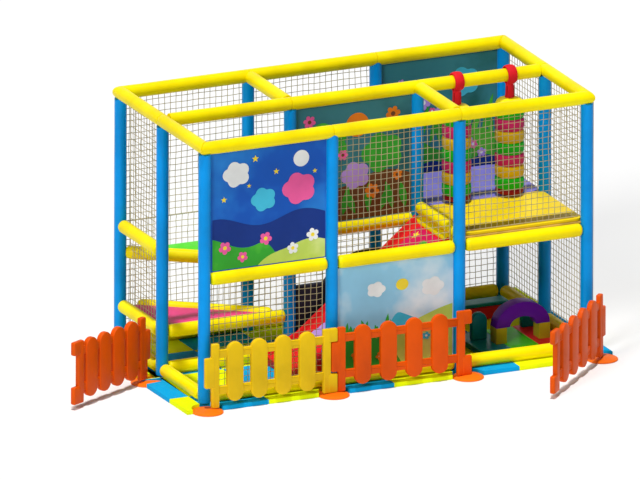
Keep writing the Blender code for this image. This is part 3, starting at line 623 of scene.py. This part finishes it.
def hill(u0, u1, top, swing, waves, phase=0.0):
    """A wavy ground from the sheet's foot up, which falls off towards an end short of the sheet's side."""
    edge = []
    for k in range(31):
        u = u1 + (u0 - u1) * k / 30
        left = (u - u0) / 0.22 + (9.0 if u0 < 0.05 else 0.02)
        right = (u1 - u) / 0.22 + (9.0 if u1 > 1.0 else 0.02)
        rise = top + swing * math.sin(phase + math.tau * waves * k / 30)
        edge.append((u, FOOT_V + (rise - FOOT_V) * math.sin(0.5 * math.pi * min(1.0, left, right))))
    return [(u0, FOOT_V), (u1, FOOT_V)] + edge


def cloud(u, v, size):
    return ring_of(u, v, size, 42, lambda t: 0.72 + 0.2 * abs(math.sin(2.5 * t)) + 0.1 * math.cos(t) ** 2)


def mirrored(motifs):
    return [(colour, [(W + 0.01 - u, v) for u, v in reversed(outline)]) for colour, outline in motifs]


def leaves(count, place, v, length, swell, width, lean, rates):
    """A row of leaves whose length and lean vary along it; place gives the first one's and the step."""
    return [("ink_leaf", leaf(place[0] + place[1] * k, v(k), length + swell * math.sin(k * rates[0]), width,
                              1.57 + lean * math.sin(k * rates[1]))) for k in range(count)]


def blossom(u, v, radius, colour, heart="ink_sun", petals=5):
    return [(colour, flower(u, v, radius, petals, u * 7)), (heart, disc(u, v, radius * 0.3))]


def motifs_on(shape, motifs, palette, place, faces=(1,)):
    """Flat printed motifs, each a little further off the surface than the one before."""
    for number, (colour, outline) in enumerate(motifs):
        for side in faces:
            rise = side * (0.0012 + 0.00012 * number)
            start = len(shape.points)
            shape.points += [place(u, v, rise) for u, v in outline]
            order = range(start, len(shape.points))
            shape.faces.append(tuple(order if side > 0 else reversed(order)))
            shape.marks.append(palette.index(colour))


night = [
    ("ink_deep", hill(0.01, W, 0.42, 0.05, 1.3)),
    ("ink_leaf", hill(0.01, 0.66, 0.24, 0.06, 0.8, 2.2)),
    ("ink_meadow", hill(0.45, W, 0.15, 0.04, 0.9, 0.4)),
    ("ink_white", cloud(0.24, 0.86, 0.13)),
    ("ink_pink", cloud(0.84, 0.66, 0.16)),
    ("ink_white", disc(0.86, 0.93, 0.075)),
    ("ink_aqua", cloud(0.50, 0.60, 0.12)),
]
for u, v, r in ((0.12, 0.64, 0.03), (0.42, 0.98, 0.035), (0.62, 0.84, 0.03), (0.99, 0.80, 0.025),
                (0.36, 0.74, 0.022)):
    night.append(("ink_sun", star(u, v, r)))
for u, v, r in ((0.13, 0.20, 0.06), (0.30, 0.10, 0.05), (0.52, 0.24, 0.06), (0.78, 0.12, 0.055),
                (0.97, 0.22, 0.06)):
    night += blossom(u, v, r, "ink_pink" if u < 0.6 else "ink_white")

meadow = [
    ("ink_aqua", hill(0.01, 0.72, 0.50, 0.07, 0.9, 1.0)),
    ("ink_meadow", hill(0.01, W, 0.44, 0.13, 0.55, 3.9)),
    ("ink_leaf", hill(0.50, W, 0.33, 0.06, 0.7, 1.2)),
    ("ink_white", cloud(0.20, 0.76, 0.11)),
    ("ink_white", cloud(0.74, 0.80, 0.09)),
    ("ink_sun", disc(0.49, 0.82, 0.06)),
]
meadow += leaves(9, (0.60, 0.055), lambda k: 0.28 + 0.02 * math.sin(k * 2.1), 0.19, 0.05,
                 0.045, 0.3, (1.7, 2.7))
for u, v, r in ((0.10, 0.16, 0.045), (0.26, 0.25, 0.04), (0.40, 0.12, 0.05), (0.70, 0.10, 0.045),
                (0.93, 0.14, 0.05)):
    meadow += blossom(u, v, r, "ink_aqua" if u < 0.3 else "ink_orange", "ink_white")

grove = [
    ("ink_brown", hill(0.01, W, 0.36, 0.06, 1.1)),
    ("ink_leaf", cloud(0.28, 0.72, 0.22)),
    ("ink_leaf", cloud(0.82, 0.58, 0.20)),
    ("ink_orange", disc(0.58, 0.86, 0.11)),
    ("ink_lilac", cloud(0.56, 0.40, 0.14)),
    ("ink_meadow", cloud(0.22, 0.36, 0.12)),
]
grove += leaves(9, (0.08, 0.12), lambda k: 0.05, 0.26, 0.04, 0.07, 0.4, (3.1, 1.9))
for u, v, r in ((0.92, 0.92, 0.07), (0.12, 0.94, 0.06), (0.44, 0.60, 0.05), (0.72, 0.24, 0.07),
                (0.96, 0.36, 0.05)):
    grove += blossom(u, v, r, "ink_orange" if u > 0.5 else "ink_pink", "ink_brown", 6)

lagoon = [
    ("ink_leaf", hill(0.01, W, 0.30, 0.08, 1.6)),
    ("ink_aqua", cloud(0.78, 0.82, 0.15)),
    ("ink_deep", hill(0.01, W, 0.10, 0.03, 2.2)),
]
lagoon += leaves(11, (0.05, 0.1), lambda k: 0.28, 0.34, 0.08, 0.06, 0.35, (2.3, 1.3))
for k in range(13):
    u, v = 0.1 + 0.9 * ((k * 0.618) % 1.0), 0.12 + 0.84 * ((k * 0.38) % 1.0)
    colour = "ink_lilac" if k % 3 else "ink_pink"
    lagoon += blossom(u, v, 0.05 + 0.02 * math.sin(k * 2.0), colour, "ink_white", 5 + k % 2)

PRINTS = {
    "print_front_upper": ("print_night", night),
    "print_front_lower": ("print_sky", mirrored(meadow)),
    "print_middle_upper": ("print_grove", grove),
    "print_back_upper": ("print_lagoon", lagoon),
}
for node, (ground, motifs) in PRINTS.items():
    low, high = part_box(node)
    y = (low.y + high.y) / 2
    width, height = high.x - low.x, high.z - low.z
    shape = Shape()
    for j in range(SHEET_STEPS + 1):
        z = low.z + height * j / SHEET_STEPS
        shape.points += [Vector((low.x + width * i / SHEET_STEPS, y, z)) for i in range(SHEET_STEPS + 1)]
    for j in range(SHEET_STEPS):
        for i in range(SHEET_STEPS):
            k = j * (SHEET_STEPS + 1) + i
            shape.faces.append((k, k + 1, k + SHEET_STEPS + 2, k + SHEET_STEPS + 1))
    shape.marks = [0] * len(shape.faces)
    cloth = piece(node.replace("print_", "printed_wall_"), shape, [ground], node)
    palette = sorted({colour for colour, _ in motifs})
    shape = Shape()
    squeeze = height / TALL_SHEET

    def on_sheet(u, v, w):
        return Vector((low.x + 0.01 + u, y - w, low.z + 0.006 + v * squeeze))

    motifs_on(shape, motifs, palette, on_sheet, (1, -1))
    inks = piece(node.replace("print_", "printed_motifs_"), shape, palette, node, replace=False)
    hem = Shape()
    edge = rounded(rectangle(low.x + 0.004, low.z + 0.004, high.x - 0.004, high.z - 0.004), 0.01)
    piping(hem, edge, 0.0, 0.0032, place=lambda u, v, w: Vector((u, y - w, v)))
    hem = piece(node.replace("print_", "printed_hem_"), hem, [ground], node, replace=False)


# Floor

SEAMS_X = [-2.063] + [-1.88 + 0.6 * k for k in range(7)] + [2.04]
SEAMS_Y = [-1.045, -0.669, -0.069, 0.531, 1.065]
SEAM_HALF = 0.0007
EDGE_STEPS = 30


def foot_edge(value, across, limit, axis):
    """A point of the tiles' outer edge, moved inwards where a fence foot's cut-out is."""
    for x, y in FOOT_PLACES.values():
        centre = (x, y)
        off = across - centre[1 - axis]
        if abs(off) < FOOT_CUT_R and abs(centre[axis] - limit) < FOOT_CUT_R:
            value = max(value, centre[axis] + math.sqrt(FOOT_CUT_R ** 2 - off ** 2))
    return value


shape = Shape()
for i, (x0, x1) in enumerate(zip(SEAMS_X, SEAMS_X[1:])):
    for j, (y0, y1) in enumerate(zip(SEAMS_Y, SEAMS_Y[1:])):
        a, b, c, d = x0 + SEAM_HALF, x1 - SEAM_HALF, y0 + SEAM_HALF, y1 - SEAM_HALF
        south = [(a + (b - a) * k / EDGE_STEPS, c) for k in range(EDGE_STEPS + 1)]
        if j == 0:
            south = [(x, foot_edge(c, x, SEAMS_Y[0], 1)) for x, _ in south]
        west = [(a, d + (south[0][1] - d) * k / EDGE_STEPS) for k in range(1, EDGE_STEPS)]
        if i == 0:
            west = [(foot_edge(a, y, SEAMS_X[0], 0), y) for _, y in west]
        outline = south + [(b, d)] + [(a, d)] + west
        mark = (i - 1 + j) % 2
        shape.slab(outline, [(0.003, 0.0), (0.0, 0.002), (0.0, TILE_T - 0.0035), (0.0012, TILE_T - 0.001),
                             (0.0035, TILE_T - 0.0002)], mark)
piece("floor_mats", shape, ["mat_cyan", "mat_lime"], "floor_tiles", sharp=30.0)

NODES["floor_board"].data.materials.clear()
NODES["floor_board"].data.materials.append(MATS["plywood"])


def pad(node, name, colour, outline, corner, crown=0.0025, shadow_band=None):
    """A covered foam pad with a slightly crowned top and a sewn welt round its upper edge, and if asked a
    darker strip of painted shadow on its top.
    """
    low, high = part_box(node)
    shape = Shape()
    outline = rounded(outline, corner)
    top = high.z - crown
    shape.slab(outline, [(0.008, low.z + 0.0005), (0.002, low.z + 0.003), (0.0, low.z + 0.009),
                         (0.0, top - 0.010), (0.002, top - 0.004), (0.008, top - 0.0008), (0.018, top)],
               crown=[(0.9, top + 0.35 * crown), (0.7, top + 0.75 * crown), (0.35, top + crown - 0.0003)])
    piping(shape, inset(outline, 0.001), top - 0.0045, 0.0024)
    if shadow_band:
        motifs_on(shape, [(shadow_band[0], rounded(shadow_band[1], 0.01))], [colour, shadow_band[0]],
                  lambda u, v, w: Vector((u, v, top + crown * 0.36 + w)))
    return piece(name, shape, [colour] + ([shadow_band[0]] if shadow_band else []), node)


for node, name, colour, corner in (("yellow_floor_pad", "yellow_floor_mat", "yellow", 0.07),
                                   ("lavender_floor_pad", "lavender_floor_mat", "lavender", 0.137),
                                   ("rear_floor_pad", "rear_floor_mat", "azure", 0.126)):
    low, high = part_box(node)
    # The yellow mat's front strip is drawn darker as painted shadow, where the front net's shadow falls on
    # the mat
    front = rectangle(low.x + 0.08, low.y + 0.022, high.x - 0.08, low.y + 0.17)
    outline = rectangle(low.x + 0.0006, low.y + 0.0006, high.x - 0.0006, high.y - 0.0006)
    pad(node, name, colour, outline, corner, shadow_band=("yellow_shade", front) if colour == "yellow" else None)
CORNERS = {"low_platform": ((0, 1), (1, 1), (0, 2)), "high_platform": ((1, 1), (1, 2), (0, 2))}
for node, posts in CORNERS.items():
    outline = inset([(POST_X[c], POST_Y[r]) for c, r in posts], 0.0605)
    pad(node, f"{node}_mat", "magenta" if node == "low_platform" else "green", outline, 0.03, 0.004)


# Slide

SLIDE_Y = (-0.81, -0.075)
FOOT_X, LANDING_X, KNEE_X, HEAD_X = -0.88, -0.84, -0.58, 0.5517
WALL_T, WALL_H, LIP = 0.035, 0.0665, 0.07
BEDS = [(FOOT_X, 0.11), (LANDING_X, 0.11), (KNEE_X, 0.235), (HEAD_X, 1.16)]
UNDERS = [(LANDING_X, TILE_T + 0.0006), (KNEE_X, 0.159), (HEAD_X, 1.084)]


def along_slide(x, table):
    """Linear in x between the table's points."""
    for (x0, z0), (x1, z1) in zip(table, table[1:]):
        if x <= x1:
            return z0 + (z1 - z0) * max(0.0, x - x0) / (x1 - x0)
    return table[-1][1]


def bed(x):
    """The height of the sliding surface."""
    return along_slide(x, BEDS)


def under(x):
    return along_slide(x, UNDERS)


def slide_ring(x, trim=0.0):
    """The slide's section at x: walls with round tops and a hollow beside each; trim rounds its ends."""
    y0, y1 = SLIDE_Y[0] + trim, SLIDE_Y[1] - trim
    b, u = bed(x), under(x) + trim
    rise = WALL_H - trim - 0.02 * max(0.0, 1.0 - (x - FOOT_X) / 0.12) ** 2
    left = [
        (0.0, u + 0.008),
        (0.0, b + rise - 0.014),
        (0.004, b + rise - 0.004),
        (0.0125, b + rise),
        (0.0225, b + rise),
        (0.031, b + rise - 0.004),
        (WALL_T, b + rise - 0.014),
        (WALL_T + 0.002, b + 0.03),
        (WALL_T + 0.011, b + 0.012),
        (WALL_T + 0.034, b + 0.002),
        (WALL_T + LIP, b),
    ]
    section = [(y0 + d, z) for d, z in left] + [(y1 - d, z) for d, z in reversed(left)]
    section += [(y1 - 0.008, u), (y0 + 0.008, u)]
    return [Vector((x, y, z)) for y, z in reversed(section)]


shape = Shape()
stations = [FOOT_X + d for d in (0.0006, 0.006, 0.02, 0.04, 0.07)]
stations += [KNEE_X - 0.03 * k for k in range(7, 0, -1)]
stations += [KNEE_X + (HEAD_X - 0.02 - KNEE_X) * k / 24 for k in range(25)]
stations += [HEAD_X - 0.006, HEAD_X - 0.0008]
shape.add([slide_ring(x, 0.005 if k in (0, len(stations) - 1) else 0.0) for k, x in enumerate(stations)])
slope = Vector((BEDS[3][0] - BEDS[2][0], 0.0, BEDS[3][1] - BEDS[2][1]))
length = slope.length
slope.normalize()
normal = Vector((-slope.z, 0.0, slope.x))
origin = Vector((BEDS[2][0], SLIDE_Y[0] + WALL_T + LIP, BEDS[2][1]))
span = SLIDE_Y[1] - SLIDE_Y[0] - 2 * (WALL_T + LIP)
patches = [
    ("ink_rose", rounded(rectangle(length - 0.30, 0.004, length - 0.02, span - 0.004), 0.05)),
    ("ink_leaf", cloud(length - 0.17, span - 0.30, 0.08)),
    ("ink_blue", cloud(length - 0.46, 0.12, 0.10)),
    ("ink_sun", star(length - 0.10, span - 0.09, 0.05)),
    ("ink_orange", flower(length - 0.36, span - 0.10, 0.06)),
    ("ink_lilac", cloud(0.15, 0.38, 0.14)),
    ("ink_sun", flower(0.24, 0.14, 0.09)),
    ("ink_blue", cloud(0.11, 0.12, 0.09)),
    ("ink_purple", cloud(0.36, 0.42, 0.10)),
    ("ink_leaf", cloud(0.50, 0.18, 0.10)),
    ("ink_blue", disc(0.60, 0.42, 0.07)),
    ("ink_white", flower(0.46, 0.40, 0.05, 6)),
    ("ink_orange", star(0.66, 0.14, 0.07)),
]
palette = ["slide_red"] + sorted({colour for colour, _ in patches})
motifs_on(shape, patches, palette, lambda u, v, w: origin + slope * u + NORTH * v + normal * w)
piece("slide_shell", shape, palette, "slide", sharp=32.0)
# The domed wall is drawn near black as painted shade, for the deep shadow it stands in
piece("domed_wall_cover", eased("domed_partition", 0.012), ["deep_shade_black"], "domed_partition")


# Hanging bags

DISC_COLOURS = ("bag_green", "bag_gold", "bag_magenta", "bag_green", "bag_gold", "bag_magenta", "bag_green")
DISCS = len(DISC_COLOURS)
BASE_Z, BASE_H, DISC_H, BAG_R = 1.2866, 0.05, 0.106, 0.13
BAG_MATS = ["bag_base", "bag_green", "bag_gold", "bag_magenta", "bag_cap"]
# Outlines by (radius, height) of the bag's base, one disc and the cap
BASE_LINE = [(0.06, 0.0006), (0.108, 0.001), (0.121, 0.007), (0.1245, 0.018), (0.1245, 0.034), (0.118, 0.047)]
DISC_LINE = [(0.1175, 0.0015), (0.1245, 0.007), (0.1285, 0.02), (BAG_R - 0.0004, 0.042),
             (BAG_R - 0.0004, 0.064), (0.1285, 0.086), (0.1245, 0.099), (0.1175, 0.1045)]
CAP_LINE = [(0.118, 0.0015), (0.1235, 0.008), (0.1235, 0.024), (0.116, 0.042), (0.098, 0.058), (0.068, 0.070)]
# The sling's middle radius about the rail and half its thickness and width, and how finely it is made
SLING_R, SLING_T, SLING_W = 0.0730, 0.0136, 0.044
SLING_STEPS, SLING_SIDES, STEM_SIDES = 40, 14, 24
for side, x in (("left", 0.985), ("right", 1.492)):
    low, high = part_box(f"bag_{side}_rolls")
    profile = [(r, BASE_Z + z) for r, z in BASE_LINE]
    for k in range(DISCS):
        profile += [(r, BASE_Z + BASE_H + DISC_H * k + z) for r, z in DISC_LINE]
    cap = BASE_Z + BASE_H + DISCS * DISC_H
    profile += [(r, cap + z) for r, z in CAP_LINE] + [(0.03, high.z - 0.002)]

    def colour_at(z):
        if z < BASE_Z + BASE_H:
            return BAG_MATS.index("bag_base")
        if z > cap:
            return BAG_MATS.index("bag_cap")
        return BAG_MATS.index(DISC_COLOURS[min(DISCS - 1, int((z - BASE_Z - BASE_H) / DISC_H))])

    shape = Shape()
    shape.turned((x, 0.0), profile, sides=44, marks=colour_at)
    piece(f"bag_{side}_discs", shape, BAG_MATS, f"bag_{side}_rolls", sharp=70.0)
    shape = Shape()
    rings = []
    turns = [math.tau * j / SLING_SIDES for j in range(SLING_SIDES)]
    section = [(SLING_W * math.sin(t), SLING_R + SLING_T * math.cos(t)) for t in turns]
    for k in range(SLING_STEPS):
        t = math.tau * k / SLING_STEPS
        out = Vector((0.0, math.cos(t), math.sin(t)))
        rings.append([Vector((x + w, 0.0, RAIL_Z["top"])) + out * r for w, r in section])
    shape.add(rings, cyclic=True)
    bottom, top = high.z - 0.004, RAIL_Z["top"] - 0.066
    turns = [math.tau * j / STEM_SIDES for j in range(STEM_SIDES)]
    stem = [(x + 0.043 * math.cos(t), 0.037 * math.sin(t)) for t in turns]
    shape.slab(stem, [(0.004, bottom), (0.0, bottom + 0.006), (0.004, bottom + 0.05), (0.006, top - 0.03),
                      (0.004, top - 0.012), (0.008, top)])
    ridge = [(0.0, 0.0012), (0.004, 0.0024), (0.096, 0.0024), (0.1, 0.0012)]
    for turn in (0.6, math.pi - 0.6):
        spot = Vector((x + 0.0405 * math.cos(turn), -0.0348 * math.sin(turn), bottom + 0.012))
        shape.bar(spot, spot + UP * 0.1, ridge, sides=6, mark=1)
    piece(f"bag_{side}_sling", shape, ["strap_red", "bag_base"], f"bag_{side}_strap")


# Toddler corner


def slabbed(node, name, colours, parts):
    """Covered blocks with rounded edges and welts, by (outline, low z, high z, material place)."""
    shape = Shape()
    for outline, low_z, high_z, mark in parts:
        outline = rounded(outline, 0.012, 5)
        shape.slab(outline, [(0.008, low_z), (0.002, low_z + 0.003), (0.0, low_z + 0.009),
                             (0.0, high_z - 0.011), (0.002, high_z - 0.004), (0.009, high_z - 0.0008)], mark,
                   crown=[(0.8, high_z - 0.0004), (0.3, high_z - 0.0002)])
        piping(shape, inset(outline, 0.0012), high_z - 0.0045, 0.0024, mark)
    return piece(name, shape, colours, node)


# The top of the arch's blocks
ARCH_BLOCK_TOP = 0.2442
BASE_Y = (-0.704, -0.126)
slabbed("play_base", "play_base_cover", ["teal", "green", "red"],
        [(rectangle(0.911, BASE_Y[0], 1.19, BASE_Y[1]), 0.0408, 0.1, 0),
         (rectangle(1.1915, BASE_Y[0], 1.46, BASE_Y[1]), 0.0408, 0.1, 1),
         (rectangle(1.4615, BASE_Y[0], 1.729, BASE_Y[1]), 0.0408, 0.1, 2),
         (rectangle(1.631, BASE_Y[0], 1.729, -0.606), 0.098, 0.15, 2)])
low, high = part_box("play_bench")
seat = rectangle(low.x, low.y, high.x, high.y)
slabbed("play_bench", "play_bench_cover", ["red", "teal"],
        [(seat, low.z + 0.0005, high.z - 0.032, 0), (seat, high.z - 0.031, high.z, 1)])
for side in ("left", "right"):
    node = f"play_upright_{side}"
    piece(f"{node}_cover", eased(node, 0.011), ["teal"], node)
piece("play_arch_cover", eased("play_arch", 0.009, lambda centre, _: 1 if centre.z < ARCH_BLOCK_TOP else 0),
      ["purple", "olive"], "play_arch")


# Fence

PANEL_BOTTOM, GATE_BOTTOM, PANEL_TOP, LUG_LOW, LUG_HIGH, LUG_R = 0.0303, 0.045, 0.615, 0.216, 0.49, 0.03
PICKETS, PICKET_W, PICKET_LOW, PICKET_HIGH = 4, 0.155, 0.075, 0.612
END_POST, LUG_CLEAR, FAR_LUG = (0.034, 0.106), 0.012, 0.493
PANEL_RAILS = ((0.149, 0.225), (0.479, 0.555))
THICK, POST_THICK, RAIL_THICK = 0.0496, 0.045, 0.03


def plank(shape, x0, z0, x1, z1, thick, place, corner, edge):
    """A board with rounded corners and edges, from its lower left to its upper right in the panel's plane."""
    half = thick / 2
    outline = rounded(rectangle(x0, z0, x1, z1), corner, max(3, round(corner * 140)))
    side = [(edge, 0.0), (edge * 0.3, edge * 0.3), (0.0, edge)]
    layers = [(d, -half + w) for d, w in side] + [(d, half - w) for d, w in reversed(side)]
    shape.slab(outline, layers, place=lambda u, v, w: place(u, -w, v))


def fence(name, node, colour, origin, turn, length, bottom):
    """A picket panel: thick pickets with round ends on thinner rails, between end posts with hinge lugs."""
    along = Vector((math.cos(math.radians(turn)), math.sin(math.radians(turn)), 0.0))
    across = UP.cross(along)

    def place(s, t, z):
        return Vector((origin[0], origin[1], 0.0)) + along * s + across * t + UP * z

    shape = Shape()
    a, b = END_POST
    c, d = length - b, length - a
    for z0, z1 in PANEL_RAILS:
        plank(shape, b - 0.02, z0, c + 0.02, z1, RAIL_THICK, place, 0.006, 0.009)
    gap = (c - b - PICKETS * PICKET_W) / (PICKETS + 1)
    for k in range(PICKETS):
        x = b + gap + k * (PICKET_W + gap)
        plank(shape, x, PICKET_LOW, x + PICKET_W, PICKET_HIGH, THICK, place, PICKET_W / 2 - 0.0005, 0.009)
    for x0, x1 in ((a, b), (c, d)):
        plank(shape, x0, bottom + 0.0002, x1, PANEL_TOP, POST_THICK, place, 0.012, 0.009)
    plank(shape, -LUG_R, LUG_LOW, a + 0.03, LUG_HIGH, THICK, place, 0.014, 0.012)
    plank(shape, d - 0.03, bottom + 0.0002, length + LUG_R, LUG_LOW - LUG_CLEAR, THICK, place, 0.014, 0.012)
    plank(shape, d - 0.03, FAR_LUG, length + LUG_R, PANEL_TOP, THICK, place, 0.014, 0.012)
    piece(name, shape, [colour], node, sharp=42.0)


for node, colour, foot, turn, length, bottom in (
    ("fence_panel_yellow", "fence_yellow", "foot_fence_1", 0.0, 1.207, PANEL_BOTTOM),
    ("fence_panel_orange", "fence_orange", "foot_fence_2", 0.0, 1.285, PANEL_BOTTOM),
    ("gate_left", "fence_orange", "foot_gate_left", -153.243, 1.0001, GATE_BOTTOM),
    ("gate_right", "fence_orange", "foot_gate_right", 225.0, 1.213, GATE_BOTTOM),
):
    fence(f"{node}_pickets", node, colour, FOOT_PLACES[foot], turn, length, bottom)
FOOT_LINE = [(0.137, 0.0003), (0.1396, 0.002), (0.1398, 0.005), (0.137, 0.0095), (0.126, 0.0148),
             (0.106, 0.0202), (0.082, 0.0246), (0.056, 0.0276), (0.034, 0.0294), (0.0285, 0.0302)]
for node, (x, y) in FOOT_PLACES.items():
    top = LUG_LOW - (0.0005 if "gate" in node else LUG_CLEAR + 0.004)
    pin = [(0.0092, 0.0303), (0.0088, 0.034)]
    pin += [(0.0088, top - 0.004), (0.0075, top - 0.0012), (0.004, top - 0.0003)]
    if node == "foot_fence_1":
        pin = [(0.004, 0.0302)]
    shape = Shape()
    shape.turned((x, y), FOOT_LINE + pin, sides=48)
    piece(f"{node}_dome", shape, ["foot_orange"], node, sharp=30.0)


# Studio

FLOOR_REACH, FLOOR_Z = 30, -0.0015
FLOOR_GREY = 0.93
SKY_LEVEL = 0.13
# Strength, tilt, turn and softness of each light
SUNS = {"overhead_light": (2.5, 8.0, -30.0, 3.0), "side_light": (1.2, 60.0, -52.0, 16.0)}
# What the camera has to its right, above it and at its centre, and its scale
VIEW_RIGHT, VIEW_OVER = Vector((0.91049, -0.41358, 0.00261)), Vector((0.12185, 0.27456, 0.95380))
VIEW_CENTRE, VIEW_DISTANCE = Vector((-0.3202, 0.0, 1.0762)), 10.0
VIEW_PIXELS, PIXELS_PER_METRE = 640, 114.73


def studio_floor():
    mesh = bpy.data.meshes.new("studio_floor")
    corners = [(x, y, FLOOR_Z) for x, y in rectangle(-FLOOR_REACH, -FLOOR_REACH, FLOOR_REACH, FLOOR_REACH)]
    mesh.from_pydata(corners, [], [(0, 1, 2, 3)])
    mat = bpy.data.materials.new("studio_floor")
    mat.use_nodes = True
    shader = mat.node_tree.nodes["Principled BSDF"]
    shader.inputs["Base Color"].default_value = (FLOOR_GREY, FLOOR_GREY, FLOOR_GREY, 1.0)
    shader.inputs["Roughness"].default_value = 1.0
    shader.inputs["Specular IOR Level"].default_value = 0.0
    mesh.materials.append(mat)
    obj = bpy.data.objects.new("studio_floor", mesh)
    bpy.context.scene.collection.objects.link(obj)


def studio_world(level):
    """Even light from all round, seen as plain white by the camera and in reflections."""
    world = bpy.data.worlds.new("studio")
    world.use_nodes = True
    tree = world.node_tree
    tree.nodes.clear()
    path = tree.nodes.new("ShaderNodeLightPath")
    seen = path.outputs["Is Camera Ray"]
    for ray in ("Is Glossy Ray", "Is Transmission Ray"):
        both = tree.nodes.new("ShaderNodeMath")
        both.operation = "MAXIMUM"
        tree.links.new(seen, both.inputs[0])
        tree.links.new(path.outputs[ray], both.inputs[1])
        seen = both.outputs[0]
    lit, plain = tree.nodes.new("ShaderNodeBackground"), tree.nodes.new("ShaderNodeBackground")
    lit.inputs["Color"].default_value = (1.0, 1.0, 1.0, 1.0)
    lit.inputs["Strength"].default_value = level
    plain.inputs["Color"].default_value = (1.0, 1.0, 1.0, 1.0)
    mix, out = tree.nodes.new("ShaderNodeMixShader"), tree.nodes.new("ShaderNodeOutputWorld")
    tree.links.new(seen, mix.inputs[0])
    tree.links.new(lit.outputs[0], mix.inputs[1])
    tree.links.new(plain.outputs[0], mix.inputs[2])
    tree.links.new(mix.outputs[0], out.inputs["Surface"])
    bpy.context.scene.world = world


def studio_sun(name, strength, tilt, turn, softness):
    light = bpy.data.lights.new(name, "SUN")
    light.energy, light.angle = strength, math.radians(softness)
    obj = bpy.data.objects.new(name, light)
    obj.rotation_euler = (math.radians(tilt), 0.0, math.radians(turn))
    bpy.context.scene.collection.objects.link(obj)


studio_floor()
studio_world(SKY_LEVEL)
for name, (strength, tilt, turn, softness) in SUNS.items():
    studio_sun(name, strength, tilt, turn, softness)

right = VIEW_RIGHT.normalized()
back = right.cross(VIEW_OVER).normalized()
over = back.cross(right)
camera = bpy.data.objects.new("camera", bpy.data.cameras.new("camera"))
camera.data.type = "ORTHO"
camera.data.ortho_scale = VIEW_PIXELS / PIXELS_PER_METRE
camera.data.clip_end = 100.0
camera.matrix_world = Matrix.Translation(VIEW_CENTRE + back * VIEW_DISTANCE) @ Matrix(
    (right, over, back)).transposed().to_4x4()
bpy.context.scene.collection.objects.link(camera)
bpy.context.scene.camera = camera
bpy.context.scene.view_settings.view_transform = "Standard"
